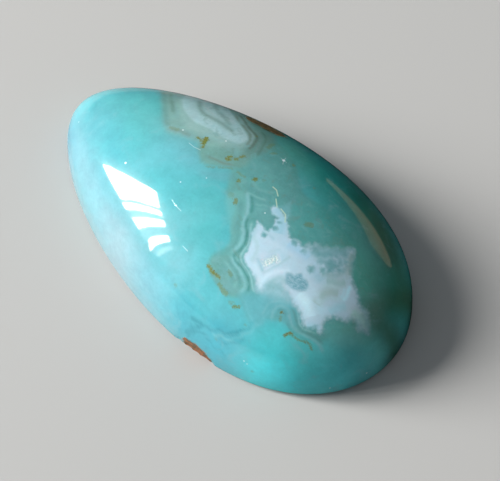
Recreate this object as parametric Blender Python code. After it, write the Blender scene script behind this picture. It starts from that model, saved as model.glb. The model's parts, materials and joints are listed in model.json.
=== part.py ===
"""A gem silica cabochon: one polished, pear-shaped stone with a domed top and a flat back.

The stone lies on its back. Its length runs along X with the blunt end at +X, its width
along Y, and the origin is under the middle of its outline, on the plane of the back.
"""

import math

import bmesh
import bpy
from mathutils import Matrix, Vector

# The outline, seen from above
LENGTH = 0.0300
MIDDLE_WIDTH = 0.0164
BLUNT_END_SWELL = 0.23

# The side view
WALL_HEIGHT = 0.0007
DOME_HEIGHT = 0.0070
DOME_RISE_TO_BLUNT_END = 0.06
DOME_FULLNESS = 2.4
BACK_EDGE_BEVEL = 0.00035

# How finely the surface is faceted
SIDES = 96
DOME_RINGS = 34

# The broken sliver low on the girdle, where brown matrix shows
CHIP_AT = math.radians(-71.0)
CHIP_LENGTH = 0.0036
CHIP_HEIGHT = 0.0013
CHIP_MIDDLE_HEIGHT = 0.00042
CHIP_DEPTH = 0.0003

# The pocket of comb quartz in the white star
POCKET_X = 0.0062
POCKET_Y = -0.0023
POCKET_TURN = math.radians(62.0)
POCKET_LENGTH = 0.0016
POCKET_WIDTH = 0.0009
POCKET_DEPTH = 0.00022
POCKET_RIDGE_DEPTH = 0.00009
POCKET_TEETH = 6

SHARP_EDGE_ANGLE = math.radians(30.0)
CUTTER_HEADROOM = 0.0009
SLOPE_STEP = 0.0001
OUTLINE_ANGLE_STEP = 0.001

STONE_COLOUR = (0.10, 0.48, 0.50, 1.0)
STONE_ROUGHNESS = 0.08


def remove_everything():
    for obj in list(bpy.data.objects):
        bpy.data.objects.remove(obj, do_unlink=True)


def new_collection(name):
    collection = bpy.data.collections.new(name)
    bpy.context.scene.collection.children.link(collection)
    return collection


def polished_stone_material():
    material = bpy.data.materials.new("gem_silica")
    material.use_nodes = True
    shader = material.node_tree.nodes["Principled BSDF"]
    shader.inputs["Base Color"].default_value = STONE_COLOUR
    shader.inputs["Roughness"].default_value = STONE_ROUGHNESS
    shader.inputs["Metallic"].default_value = 0.0
    material.diffuse_color = STONE_COLOUR
    return material


def half_width(along):
    """Half the width where along runs from -1 at the point to +1 at the blunt end."""
    return MIDDLE_WIDTH / 2 * (1 + BLUNT_END_SWELL * along)


def outline_point(angle, share=1.0):
    """A point on the outline, or on a smaller copy of it inside the stone."""
    along = share * math.cos(angle)
    across = share * math.sin(angle)
    return Vector((LENGTH / 2 * along, half_width(along) * across, 0.0))


def outline_normal(angle):
    ahead = outline_point(angle + OUTLINE_ANGLE_STEP)
    behind = outline_point(angle - OUTLINE_ANGLE_STEP)
    run = ahead - behind
    return Vector((run.y, -run.x, 0.0)).normalized()


def dome_height_at(x, y):
    """Height of the polished dome over a point inside the outline."""
    along = x / (LENGTH / 2)
    across = y / half_width(along)
    share_squared = min(1.0, along * along + across * across)
    lean = 1 + DOME_RISE_TO_BLUNT_END * along
    return WALL_HEIGHT + DOME_HEIGHT * lean * (1 - share_squared) ** (1 / DOME_FULLNESS)


def dome_normal(x, y):
    rise_x = dome_height_at(x + SLOPE_STEP, y) - dome_height_at(x - SLOPE_STEP, y)
    rise_y = dome_height_at(x, y + SLOPE_STEP) - dome_height_at(x, y - SLOPE_STEP)
    return Vector((-rise_x, -rise_y, 2 * SLOPE_STEP)).normalized()


def surface_point(ring, angle):
    """A point of the stone on a ring counted from the top of the dome to the back."""
    if ring <= DOME_RINGS:
        share = math.sin(math.pi / 2 * ring / DOME_RINGS)
        point = outline_point(angle, share)
        point.z = dome_height_at(point.x, point.y)
        return point
    if ring == DOME_RINGS + 1:
        point = outline_point(angle)
        point.z = BACK_EDGE_BEVEL
        return point
    if ring == DOME_RINGS + 2:
        return outline_point(angle) - outline_normal(angle) * BACK_EDGE_BEVEL
    return Vector((0.0, 0.0, 0.0))


def make_stone(collection):
    """A sphere whose rings are moved onto the dome, the wall, the bevel and the back."""
    rings = DOME_RINGS + 3
    shape = bmesh.new()
    bmesh.ops.create_uvsphere(shape, u_segments=SIDES, v_segments=rings, radius=1.0)
    for vertex in shape.verts:
        polar = math.acos(max(-1.0, min(1.0, vertex.co.z)))
        ring = round(polar / math.pi * rings)
        angle = math.atan2(vertex.co.y, vertex.co.x)
        vertex.co = surface_point(ring, angle)
    bmesh.ops.recalc_face_normals(shape, faces=shape.faces)
    mesh = bpy.data.meshes.new("gem_silica_cabochon")
    shape.to_mesh(mesh)
    shape.free()
    mesh.shade_smooth()
    mesh.set_sharp_from_angle(angle=SHARP_EDGE_ANGLE)
    stone = bpy.data.objects.new("gem_silica_cabochon", mesh)
    collection.objects.link(stone)
    return stone


def as_cutter(obj):
    obj.hide_render = True
    obj.display_type = "WIRE"
    return obj


def make_chip_cutter(collection):
    """A flat ellipsoid that scoops the sliver out of the wall, along the girdle."""
    shape = bmesh.new()
    bmesh.ops.create_uvsphere(shape, u_segments=32, v_segments=12, radius=1.0)
    thickness = 2 * CHIP_DEPTH
    size = Matrix.Diagonal((CHIP_LENGTH / 2, thickness, CHIP_HEIGHT / 2, 1.0))
    bmesh.ops.transform(shape, matrix=size, verts=shape.verts)
    mesh = bpy.data.meshes.new("chip_cutter")
    shape.to_mesh(mesh)
    shape.free()
    cutter = bpy.data.objects.new("chip_cutter", mesh)
    normal = outline_normal(CHIP_AT)
    cutter.location = outline_point(CHIP_AT) + normal * (thickness - CHIP_DEPTH)
    cutter.location.z = CHIP_MIDDLE_HEIGHT
    cutter.rotation_euler.z = math.atan2(normal.y, normal.x) - math.pi / 2
    collection.objects.link(cutter)
    return as_cutter(cutter)


def make_pocket_cutter(collection):
    """A block with a saw-tooth underside, whose cut leaves a row of small crystal ridges."""
    tooth = POCKET_LENGTH / POCKET_TEETH
    profile = [(-POCKET_LENGTH / 2, CUTTER_HEADROOM)]
    for index in range(POCKET_TEETH):
        start = -POCKET_LENGTH / 2 + index * tooth
        profile.append((start, -POCKET_RIDGE_DEPTH))
        profile.append((start + tooth / 2, -POCKET_DEPTH))
    profile.append((POCKET_LENGTH / 2, -POCKET_RIDGE_DEPTH))
    profile.append((POCKET_LENGTH / 2, CUTTER_HEADROOM))
    shape = bmesh.new()
    corners = [shape.verts.new((x, -POCKET_WIDTH / 2, z)) for x, z in profile]
    side = shape.faces.new(corners)
    grown = bmesh.ops.extrude_face_region(shape, geom=[side])
    moved = [item for item in grown["geom"] if isinstance(item, bmesh.types.BMVert)]
    bmesh.ops.translate(shape, vec=(0.0, POCKET_WIDTH, 0.0), verts=moved)
    bmesh.ops.recalc_face_normals(shape, faces=shape.faces)
    mesh = bpy.data.meshes.new("pocket_cutter")
    shape.to_mesh(mesh)
    shape.free()
    cutter = bpy.data.objects.new("pocket_cutter", mesh)
    cutter.location = (POCKET_X, POCKET_Y, dome_height_at(POCKET_X, POCKET_Y))
    cutter.rotation_mode = "QUATERNION"
    upright = dome_normal(POCKET_X, POCKET_Y).to_track_quat("Z", "X")
    plain_x = upright @ Vector((1.0, 0.0, 0.0))
    start_turn = math.atan2(plain_x.y, plain_x.x)
    turn = Matrix.Rotation(POCKET_TURN - start_turn, 3, "Z").to_quaternion()
    cutter.rotation_quaternion = upright @ turn
    collection.objects.link(cutter)
    return as_cutter(cutter)


def cut(stone, cutter):
    modifier = stone.modifiers.new(cutter.name, "BOOLEAN")
    modifier.operation = "DIFFERENCE"
    modifier.solver = "EXACT"
    modifier.object = cutter


def main():
    remove_everything()
    model = new_collection("gem_silica")
    cutters = new_collection("cutters")
    stone = make_stone(model)
    stone.data.materials.append(polished_stone_material())
    cut(stone, make_chip_cutter(cutters))
    cut(stone, make_pocket_cutter(cutters))


main()
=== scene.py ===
# %% [markdown]
# # A polished gem silica cabochon
# Gem silica is chalcedony, a very fine quartz, coloured blue-green by copper. This stone was
# ground to a pear with a domed top and a flat back, then polished until it mirrors a window.
# The imported solid gives its size. The steps below model the same form finely enough for a
# clean reflection, cut the crystal pocket and the chip, paint what grew inside the stone
# along with some painted glow, shade and glints, and light it from a window on the left.

import json
import math

import bpy
import numpy as np
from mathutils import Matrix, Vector, noise
from mathutils.bvhtree import BVHTree

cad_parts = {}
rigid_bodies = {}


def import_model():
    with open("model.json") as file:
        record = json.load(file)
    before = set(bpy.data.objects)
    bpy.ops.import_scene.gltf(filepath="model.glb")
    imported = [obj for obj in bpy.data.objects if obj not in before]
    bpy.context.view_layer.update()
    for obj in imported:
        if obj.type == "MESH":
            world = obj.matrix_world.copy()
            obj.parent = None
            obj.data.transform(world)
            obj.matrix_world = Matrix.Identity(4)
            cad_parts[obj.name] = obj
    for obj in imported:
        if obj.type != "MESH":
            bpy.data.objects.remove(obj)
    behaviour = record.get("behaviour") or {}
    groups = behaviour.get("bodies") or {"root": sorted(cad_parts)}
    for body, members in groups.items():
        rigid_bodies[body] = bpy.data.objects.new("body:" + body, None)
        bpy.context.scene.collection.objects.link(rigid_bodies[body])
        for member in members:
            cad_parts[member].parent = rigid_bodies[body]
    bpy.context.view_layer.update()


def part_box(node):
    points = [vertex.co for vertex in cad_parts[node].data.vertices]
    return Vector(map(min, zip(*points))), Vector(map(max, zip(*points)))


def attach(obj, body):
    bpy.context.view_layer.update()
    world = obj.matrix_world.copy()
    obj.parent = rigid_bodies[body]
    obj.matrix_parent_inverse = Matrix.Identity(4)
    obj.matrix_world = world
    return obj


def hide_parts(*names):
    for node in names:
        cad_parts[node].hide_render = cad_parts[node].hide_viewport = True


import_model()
STONE_NODE = "gem_silica_cabochon"
stone_low, stone_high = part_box(STONE_NODE)
LENGTH = stone_high.x - stone_low.x
MM = 0.001
print("packed stone, mm:", [round(v / MM, 2) for v in stone_high - stone_low])

# %% [markdown]
# ## The camera first
# The photograph looks down at about 60 degrees over the blunt end, close enough for some
# perspective. The camera is made before the stone, because every mark is placed by the line
# from the lens through the place where the mark is seen.

# %% Camera
PHOTO_WIDTH = 500
PHOTO_HEIGHT = 481
SENSOR = 36.0
VIEW_AZIMUTH = math.radians(43.1)
VIEW_ELEVATION = math.radians(60.0)
VIEW_DISTANCE = 120 * MM
VIEW_LENS = 124.3
AIM = Vector((2.31, -0.18, 2.5)) * MM

towards_camera = Vector((
    math.sin(VIEW_AZIMUTH) * math.cos(VIEW_ELEVATION),
    -math.cos(VIEW_AZIMUTH) * math.cos(VIEW_ELEVATION),
    math.sin(VIEW_ELEVATION),
))
camera_data = bpy.data.cameras.new("photo_view")
camera_data.lens = VIEW_LENS
camera_data.sensor_width = SENSOR
camera_data.clip_start = VIEW_DISTANCE / 20
camera_data.clip_end = VIEW_DISTANCE * 100
camera = bpy.data.objects.new("photo_view", camera_data)
camera.location = AIM + towards_camera * VIEW_DISTANCE
camera.rotation_mode = "QUATERNION"
camera.rotation_quaternion = (-towards_camera).to_track_quat("-Z", "Y")
bpy.context.scene.collection.objects.link(camera)
bpy.context.scene.camera = camera
print("camera at, mm:", [round(v / MM, 1) for v in camera.location])

# %% [markdown]
# ## Working by hand, in code
# Blender's operators act on whatever is selected, so these helpers clear the selection, open
# one object for editing, and select its vertices by their place.

# %% Helpers for edit mode
def deselect_everything():
    for obj in bpy.context.view_layer.objects:
        obj.select_set(False)


def edit(obj):
    deselect_everything()
    obj.select_set(True)
    bpy.context.view_layer.objects.active = obj
    bpy.ops.object.mode_set(mode="EDIT")
    bpy.ops.mesh.select_mode(type="VERT")
    bpy.ops.mesh.select_all(action="DESELECT")


def leave_edit():
    bpy.ops.object.mode_set(mode="OBJECT")


def vertex_places(obj):
    places = np.empty(3 * len(obj.data.vertices))
    obj.data.vertices.foreach_get("co", places)
    return places.reshape(-1, 3)


def select_where(obj, wanted):
    """Selects the vertices whose places pass a test, and stays in edit mode."""
    bpy.ops.mesh.select_all(action="DESELECT")
    bpy.ops.object.mode_set(mode="OBJECT")
    obj.data.vertices.foreach_set("select", wanted(vertex_places(obj)))
    bpy.ops.object.mode_set(mode="EDIT")


def apply_modifiers(obj):
    deselect_everything()
    obj.select_set(True)
    bpy.context.view_layer.objects.active = obj
    for modifier in list(obj.modifiers):
        bpy.ops.object.modifier_apply(modifier=modifier.name)


# %% [markdown]
# ## The girdle and the dome
# A cutter grinds a cabochon in rings: first the outline, then ring after ring towards the
# top. The mesh is made the same way. A circle is stretched to an oval, each ring is extruded
# upwards and drawn in, and the top is closed with a grid of quads, which has no pole to
# spoil the shine.

# %% Grow the dome from the girdle
MIDDLE_WIDTH = 16.4 * MM
WALL_HEIGHT = 0.7 * MM
DOME_HEIGHT = 7.0 * MM
DOME_FULLNESS = 2.4
GIRDLE_SIDES = 64
DOME_RINGS = 11
CAP_SHARE = 0.42
CAP_ANGLE = math.asin(CAP_SHARE)
JUST_INSIDE = 0.999


def dome_rise(share):
    """Height above the girdle, where share is 0 at the top and 1 at the girdle."""
    return DOME_HEIGHT * max(0.0, 1 - share * share) ** (1 / DOME_FULLNESS)


deselect_everything()
bpy.ops.mesh.primitive_circle_add(vertices=GIRDLE_SIDES, radius=1.0, fill_type="NOTHING")
stone = bpy.context.object
stone.name = "polished_stone"
edit(stone)
bpy.ops.mesh.select_all(action="SELECT")
bpy.ops.transform.resize(value=(LENGTH / 2, MIDDLE_WIDTH / 2, 1.0))
bpy.ops.transform.translate(value=(0.0, 0.0, WALL_HEIGHT))
share = 1.0
for ring in range(1, DOME_RINGS + 1):
    angle = math.pi / 2 + (CAP_ANGLE - math.pi / 2) * ring / DOME_RINGS
    next_share = math.sin(angle)
    rise = dome_rise(next_share) - dome_rise(share)
    bpy.ops.mesh.extrude_region_move(TRANSFORM_OT_translate={"value": (0.0, 0.0, rise)})
    shrink = next_share / share
    bpy.ops.transform.resize(value=(shrink, shrink, 1.0), center_override=(0.0, 0.0, 0.0))
    share = next_share
bpy.ops.mesh.fill_grid(span=GIRDLE_SIDES // 4)
leave_edit()
for vertex in stone.data.vertices:
    share = math.hypot(vertex.co.x / (LENGTH / 2), vertex.co.y / (MIDDLE_WIDTH / 2))
    if share < CAP_SHARE * JUST_INSIDE:
        vertex.co.z = WALL_HEIGHT + dome_rise(share)
print("dome cage:", len(stone.data.polygons), "faces")

# %% [markdown]
# ## The wall, the bevel and the back
# Below the girdle the side drops straight for less than a millimetre, so that a metal bezel
# could hold it, and the lower edge is bevelled so that it doesn't chip. The back is flat.
# Both lower edges keep part of a crease: a ground edge is crisp, but never razor sharp.

# %% Close the stone downwards
BACK_EDGE_BEVEL = 0.35 * MM
BACK_RING_SHARE = 0.75
EDGE_CREASE = 0.7
OUTER_RING_SHARE = 0.9
LEVEL_TOLERANCE = 0.01 * MM

edit(stone)
select_where(stone, lambda places: abs(places[:, 2] - WALL_HEIGHT) < LEVEL_TOLERANCE)
for drop in (BACK_EDGE_BEVEL - WALL_HEIGHT, -BACK_EDGE_BEVEL):
    bpy.ops.mesh.extrude_region_move(TRANSFORM_OT_translate={"value": (0.0, 0.0, drop)})
bevel_shrink = (
    1 - 2 * BACK_EDGE_BEVEL / LENGTH,
    1 - 2 * BACK_EDGE_BEVEL / MIDDLE_WIDTH,
    1.0,
)
bpy.ops.transform.resize(value=bevel_shrink, center_override=(0.0, 0.0, 0.0))
bpy.ops.mesh.extrude_region_move()
bpy.ops.transform.resize(value=(BACK_RING_SHARE, BACK_RING_SHARE, 1.0),
                         center_override=(0.0, 0.0, 0.0))


def crease_ring(height):
    """Creases the outer ring of edges at a height, and not the ring inside it."""
    def on_ring(places):
        share = np.hypot(places[:, 0] / (LENGTH / 2), places[:, 1] / (MIDDLE_WIDTH / 2))
        return (abs(places[:, 2] - height) < LEVEL_TOLERANCE) & (share > OUTER_RING_SHARE)
    select_where(stone, on_ring)
    bpy.ops.transform.edge_crease(value=EDGE_CREASE)


crease_ring(BACK_EDGE_BEVEL)
crease_ring(0.0)
bpy.ops.mesh.select_all(action="SELECT")
bpy.ops.mesh.normals_make_consistent(inside=False)
leave_edit()
print("cage:", len(stone.data.polygons), "faces, open in the middle of the back")

# %% [markdown]
# ## From oval to pear, and smooth
# A Simple Deform taper widens one end steadily, which turns the oval into the pear. A second,
# slight one lifts the dome towards the blunt end. Subdivision Surface then rounds the cage
# until no facet shows in the window's reflection. The flat middle of the back needs no fine
# mesh, so only its rim is kept, and the hole is filled with one face.

# %% Taper and subdivide
BLUNT_END_SWELL = 0.23
DOME_RISE_TO_BLUNT_END = 0.06
SMOOTH_LEVELS = 3
BACK_RIM_SHARE = 0.922


def inside_back_rim(places):
    """Which vertices of the back lie further in than its rim, on the pear's own outline."""
    along = places[:, 0] / (LENGTH / 2)
    across = places[:, 1] / (MIDDLE_WIDTH / 2 * (1 + BLUNT_END_SWELL * along))
    on_the_back = abs(places[:, 2]) < LEVEL_TOLERANCE
    return on_the_back & (np.hypot(along, across) < BACK_RIM_SHARE)


pear = stone.modifiers.new("pear", "SIMPLE_DEFORM")
pear.deform_method = "TAPER"
pear.deform_axis = "X"
pear.factor = 2 * BLUNT_END_SWELL
pear.lock_z = True
lean = stone.modifiers.new("lean", "SIMPLE_DEFORM")
lean.deform_method = "TAPER"
lean.deform_axis = "X"
lean.factor = 2 * DOME_RISE_TO_BLUNT_END
lean.lock_y = True
smooth = stone.modifiers.new("smooth", "SUBSURF")
smooth.levels = SMOOTH_LEVELS
smooth.render_levels = SMOOTH_LEVELS
apply_modifiers(stone)
edit(stone)
select_where(stone, inside_back_rim)
bpy.ops.mesh.delete(type="VERT")
bpy.ops.mesh.select_non_manifold()
bpy.ops.mesh.edge_face_add()
leave_edit()
bpy.ops.object.shade_smooth()
print("fine stone:", len(stone.data.polygons), "faces")

# %% [markdown]
# ## From the photograph onto the stone
# A mark is noted where the photograph shows it, in pixels. A ray from the camera through
# that pixel meets the polished dome at one point, and there the mark goes. Beside the stone
# the ray meets the floor instead, which closes outlines that leave the stone.

# %% Find places on the stone
STAR_PIXEL = (300, 265)
LENS_PIXELS = VIEW_LENS / SENSOR * PHOTO_WIDTH
polished_surface = BVHTree.FromPolygons(
    [vertex.co.copy() for vertex in stone.data.vertices],
    [tuple(face.vertices) for face in stone.data.polygons],
)


def on_stone(pixel):
    """The point of the stone, or of the floor beside it, that shows at a pixel."""
    across = (pixel[0] - PHOTO_WIDTH / 2) / LENS_PIXELS
    down = (pixel[1] - PHOTO_HEIGHT / 2) / LENS_PIXELS
    direction = camera.rotation_quaternion @ Vector((across, -down, -1.0))
    hit = polished_surface.ray_cast(camera.location, direction)[0]
    if hit is None:
        hit = camera.location - direction * (camera.location.z / direction.z)
    return hit


print("middle of the star at, mm:", [round(v / MM, 2) for v in on_stone(STAR_PIXEL)])

# %% [markdown]
# ## Finer mesh where it is needed
# The star, its bands and the chip need a finer mesh than the plain body, and the crystal
# pocket, which lies in the star, a finer one again. Their faces are subdivided in place.

# %% Refine the mesh in three places
POCKET_PIXEL = (270.5, 261.0)
CHIP_PIXEL = (194.5, 350.0)
CHIP_MIDDLE_HEIGHT = 0.42 * MM
STAR_REACH = 4.2 * MM
POCKET_REACH = 1.15 * MM
CHIP_REACH = 2.1 * MM
STAR_MIDDLE = on_stone(STAR_PIXEL)
POCKET_MIDDLE = on_stone(POCKET_PIXEL)
CHIP_MIDDLE = on_stone(CHIP_PIXEL)
CHIP_MIDDLE.z = CHIP_MIDDLE_HEIGHT


def are_near(places, middle, reach):
    return np.linalg.norm(places - np.array(middle), axis=1) < reach


def refine(obj, middle, reach):
    edit(obj)
    select_where(obj, lambda places: are_near(places, middle, reach))
    bpy.ops.mesh.subdivide(number_cuts=1)
    leave_edit()


refine(stone, STAR_MIDDLE, STAR_REACH)
refine(stone, POCKET_MIDDLE, POCKET_REACH)
refine(stone, CHIP_MIDDLE, CHIP_REACH)
print("after refining:", len(stone.data.polygons), "faces")

# %% [markdown]
# ## The chip
# Low on the near side a sliver has broken out of the girdle and shows brown, iron-stained
# rock. The vertices there are pushed in along the stone's own normal, unevenly.

# %% Push in the chip
CHIP_LENGTH = 3.6 * MM
CHIP_HEIGHT = 1.5 * MM
CHIP_DEPTH = 0.14 * MM
CHIP_RIM_STEEPNESS = 2.5
CHIP_EVEN_SHARE = 0.75
CHIP_UNEVEN_SHARE = 0.45
COARSE_BREAK = 0.45 * MM
FINE_BREAK = 0.15 * MM
FINE_BREAK_SHARE = 0.5


def eased(value):
    value = min(1.0, max(0.0, value))
    return value * value * (3 - 2 * value)


def chip_share(place):
    """1 in the middle of the chip, 0 at its rim and beyond."""
    along = (place - CHIP_MIDDLE).to_2d().length / (CHIP_LENGTH / 2)
    upwards = (place.z - CHIP_MIDDLE.z) / (CHIP_HEIGHT / 2)
    return max(0.0, 1 - along * along - upwards * upwards)


chipped = {}
for index in np.flatnonzero(are_near(vertex_places(stone), CHIP_MIDDLE, CHIP_REACH)):
    vertex = stone.data.vertices[index]
    share = chip_share(vertex.co)
    if share > 0.0:
        uneven = noise.noise(vertex.co / COARSE_BREAK)
        uneven += FINE_BREAK_SHARE * noise.noise(vertex.co / FINE_BREAK)
        depth = CHIP_DEPTH * eased(CHIP_RIM_STEEPNESS * share)
        depth *= CHIP_EVEN_SHARE + CHIP_UNEVEN_SHARE * uneven
        chipped[index] = vertex.co - vertex.normal * depth
for index, place in chipped.items():
    place.z = max(place.z, 0.0)
    stone.data.vertices[index].co = place
print("chip: moved", len(chipped), "vertices")

# %% [markdown]
# ## The crystal pocket
# In the middle of the white star a shallow pocket is lined with tiny quartz crystals that
# stand in a row like a comb. The faces there sink a little, and a saw-tooth row of uneven
# points rises in them.

# %% Sink the pocket and raise its comb of crystals
POCKET_LONG = Vector((0.41, 0.91, 0.0)).normalized()
POCKET_ACROSS = Vector((POCKET_LONG.y, -POCKET_LONG.x, 0.0))
POCKET_LENGTH = 1.55 * MM
POCKET_WIDTH = 0.86 * MM
POCKET_DEPTH = 0.035 * MM
POCKET_END_SLOPE = 2.4
POCKET_SIDE_SLOPE = 1.7
COMB_TEETH = 7
COMB_HEIGHT = 0.024 * MM
COMB_REACH = 1.2
COMB_TAPER = 1.15
TOOTH_SLANT = 0.2
TOOTH_EVEN_SHARE = 0.75
TOOTH_UNEVEN_SHARE = 0.5
TOOTH_NOISE_STEP = 1.7
TOOTH_NOISE_ROW = 0.3
CRYSTAL_ROUGH = 0.012 * MM
CRYSTAL_ROUGH_SIZE = 0.07 * MM


def pocket_place(place):
    """Where a point lies in the pocket: along and across, each -1 to 1 inside it."""
    offset = place - POCKET_MIDDLE
    along = offset.dot(POCKET_LONG) / (POCKET_LENGTH / 2)
    across = offset.dot(POCKET_ACROSS) / (POCKET_WIDTH / 2)
    return along, across


def pocket_share(along, across):
    """Above 1 on the pocket's floor, 0 at its rim and below 0 outside it."""
    return min((1 - abs(along)) * POCKET_END_SLOPE, (1 - abs(across)) * POCKET_SIDE_SLOPE)


def comb_height(along, across):
    """Crystal points: a saw-tooth along the pocket, uneven from tooth to tooth."""
    tooth = (along + TOOTH_SLANT * across + COMB_REACH) / (2 * COMB_REACH) * COMB_TEETH
    number = math.floor(tooth)
    crest = 1 - abs(2 * (tooth - number) - 1)
    chance = noise.noise(Vector((number * TOOTH_NOISE_STEP, TOOTH_NOISE_ROW, 0.0)))
    uneven = TOOTH_EVEN_SHARE + TOOTH_UNEVEN_SHARE * chance
    middle = max(0.0, 1 - (across * COMB_TAPER) ** 2)
    return crest * uneven * middle


sunk = {}
sunk_share = {}
for index in np.flatnonzero(are_near(vertex_places(stone), POCKET_MIDDLE, POCKET_REACH)):
    vertex = stone.data.vertices[index]
    along, across = pocket_place(vertex.co)
    share = pocket_share(along, across)
    if share > 0.0:
        rough = CRYSTAL_ROUGH * noise.noise(vertex.co / CRYSTAL_ROUGH_SIZE)
        change = COMB_HEIGHT * comb_height(along, across) - POCKET_DEPTH + rough
        sunk[index] = vertex.co + vertex.normal * change * eased(share)
        sunk_share[index] = share
for index, place in sunk.items():
    stone.data.vertices[index].co = place
stone.data.update()
print("pocket: moved", len(sunk), "vertices")

# %% [markdown]
# ## The paint box
# What grew in the stone is painted onto its vertices, the way a gem painter works: soft
# clouds first, then patches with a drawn outline, then fine lines. Distances are
# measured through a slight, organic wobble, so that no edge looks drawn with a ruler. Patches
# and lines fade out unevenly towards the girdle, where the photograph shows none.

# %% Brushes
NEIGHBOURING_PIXELS = ((305, 262), (306, 262))
CURVE_STEPS = (0.0, 0.33, 0.67)
SHORTEST_STEP = 1e-9
# size of the wobble's clumps, how far it moves a place
WOBBLES = ((1.1 * MM, 0.07 * MM), (0.30 * MM, 0.035 * MM))
# without a seed, noise_vector starts from the clock and differs from run to run
WOBBLE_SEED = 7

left_place, right_place = [on_stone(pixel) for pixel in NEIGHBOURING_PIXELS]
PIXEL = (right_place - left_place).length
places = vertex_places(stone)
vertex_count = len(places)
wobbled = places.copy()
noise.seed_set(WOBBLE_SEED)
for size, amount in WOBBLES:
    for index, place in enumerate(places / size):
        wobbled[index] += np.array(noise.noise_vector(place)) * amount
plan = wobbled[:, :2]


def rounded(points, closed):
    """The same line with its corners rounded by a Catmull-Rom curve."""
    count = len(points)
    curve = []
    for index in range(count if closed else count - 1):
        picked = []
        for step in (-1, 0, 1, 2):
            at = (index + step) % count if closed else min(max(index + step, 0), count - 1)
            picked.append(points[at])
        before, start, end, after = picked
        for t in CURVE_STEPS:
            curve.append(0.5 * (
                2 * start + (end - before) * t
                + (2 * before - 5 * start + 4 * end - after) * t ** 2
                + (3 * start - before - 3 * end + after) * t ** 3
            ))
    curve.append(points[0] if closed else points[-1])
    return np.array(curve)


def near_line(at, line, reach):
    """Which of the points lie within reach of the line's bounding box."""
    inside = (at > line.min(axis=0) - reach) & (at < line.max(axis=0) + reach)
    return np.flatnonzero(inside.all(axis=1))


def line_distance(at, line):
    """Each point's distance from a line, and how far from the line's nearer end."""
    nearest = np.full(len(at), np.inf)
    travelled = np.zeros(len(at))
    length = 0.0
    for start, end in zip(line, line[1:]):
        step = end - start
        size = max(np.linalg.norm(step), SHORTEST_STEP)
        along = np.clip((at - start) @ step / size ** 2, 0.0, 1.0)
        distance = np.linalg.norm(at - start - along[:, None] * step, axis=1)
        closer = distance < nearest
        nearest[closer] = distance[closer]
        travelled[closer] = length + along[closer] * size
        length += size
    return nearest, np.minimum(travelled, length - travelled)


def on_surface(pixels):
    return np.array([on_stone(pixel) for pixel in pixels])


def distance_from(pixel):
    """Each vertex's distance from the place that shows at a pixel."""
    return np.linalg.norm(wobbled - on_surface([pixel])[0], axis=1)


def noise_at(size):
    """Soft noise at each vertex, with clumps of about the given size."""
    return np.array([noise.noise(place) for place in places / size])


def smooth_step(values, low, high):
    share = np.clip((values - low) / (high - low), 0.0, 1.0)
    return share * share * (3 - 2 * share)


# heights between which the marks fade out, and how much higher they do so on the far side
FLANK_FADE = (0.6 * MM, 2.0 * MM)
FAR_FLANK_RISE = 2.4 * MM
TO_FAR_FLANK = (2.0 * MM, 5.0 * MM)
FLANK_UNEVENNESS = 0.9 * MM
FLANK_UNEVEN_SIZE = 2.0 * MM
above_flank = places[:, 2] + noise_at(FLANK_UNEVEN_SIZE) * FLANK_UNEVENNESS
above_flank -= FAR_FLANK_RISE * smooth_step(places[:, 1], *TO_FAR_FLANK)
above_flank = smooth_step(above_flank, *FLANK_FADE)
LINE_END_COVER = 0.25


def mix_in(paint, indices, colour, cover):
    """Lays a colour over some vertices, each by its own cover from 0 to 1."""
    paint[indices] += (np.array(colour) - paint[indices]) * cover[:, None]


def paint_line(paint, colour, strength, width, pixels, taper=3.0):
    """A soft line, as wide as the given number of pixels and thinner at its ends."""
    line = rounded(on_surface(pixels), closed=False)
    half_width = width * PIXEL / 2
    indices = near_line(wobbled, line, 3 * half_width)
    distance, from_end = line_distance(wobbled[indices], line)
    cover = strength * np.exp(-(distance / half_width) ** 2)
    full = smooth_step(from_end, 0.0, taper * PIXEL)
    cover *= LINE_END_COVER + (1 - LINE_END_COVER) * full
    mix_in(paint, indices, colour, cover * above_flank[indices])


def is_inside(at, outline):
    """Which points lie inside: a ray from such a point crosses the outline an odd count."""
    inside = np.zeros(len(at), dtype=bool)
    for start, end in zip(outline, outline[1:]):
        if start[1] != end[1]:
            crosses = (start[1] > at[:, 1]) != (end[1] > at[:, 1])
            slope = (end[0] - start[0]) / (end[1] - start[1])
            inside ^= crosses & (at[:, 0] < start[0] + (at[:, 1] - start[1]) * slope)
    return inside


FAR_OUTSIDE = 2.5 * MM


def depth_inside(pixels):
    """Each vertex's distance, in plan, to a closed outline: positive inside it."""
    outline = rounded(on_surface(pixels)[:, :2], closed=True)
    depth = np.full(vertex_count, -FAR_OUTSIDE)
    indices = near_line(plan, outline, FAR_OUTSIDE)
    distance = line_distance(plan[indices], outline)[0]
    inside = is_inside(plan[indices], outline)
    depth[indices] = np.where(inside, distance, np.maximum(-distance, -FAR_OUTSIDE))
    return depth


def paint_patch(paint, colour, strength, edge, pixels):
    """A filled outline whose edge is soft over the given number of pixels."""
    depth = depth_inside(pixels)
    indices = np.flatnonzero(depth > -edge * PIXEL)
    cover = strength * smooth_step(depth[indices], -edge * PIXEL / 2, edge * PIXEL / 2)
    mix_in(paint, indices, colour, cover * above_flank[indices])


def paint_cloud(paint, colour, strength, half_length, half_width, turn, pixel):
    """A soft oval, its half length and half width in mm, turned by some degrees in plan."""
    middle = on_surface([pixel])[0][:2]
    angle = math.radians(turn)
    offset = (plan - middle) / MM
    along = offset[:, 0] * math.cos(angle) + offset[:, 1] * math.sin(angle)
    across = offset[:, 1] * math.cos(angle) - offset[:, 0] * math.sin(angle)
    cover = strength * np.exp(-(along / half_length) ** 2 - (across / half_width) ** 2)
    mix_in(paint, slice(None), colour, cover)


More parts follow.
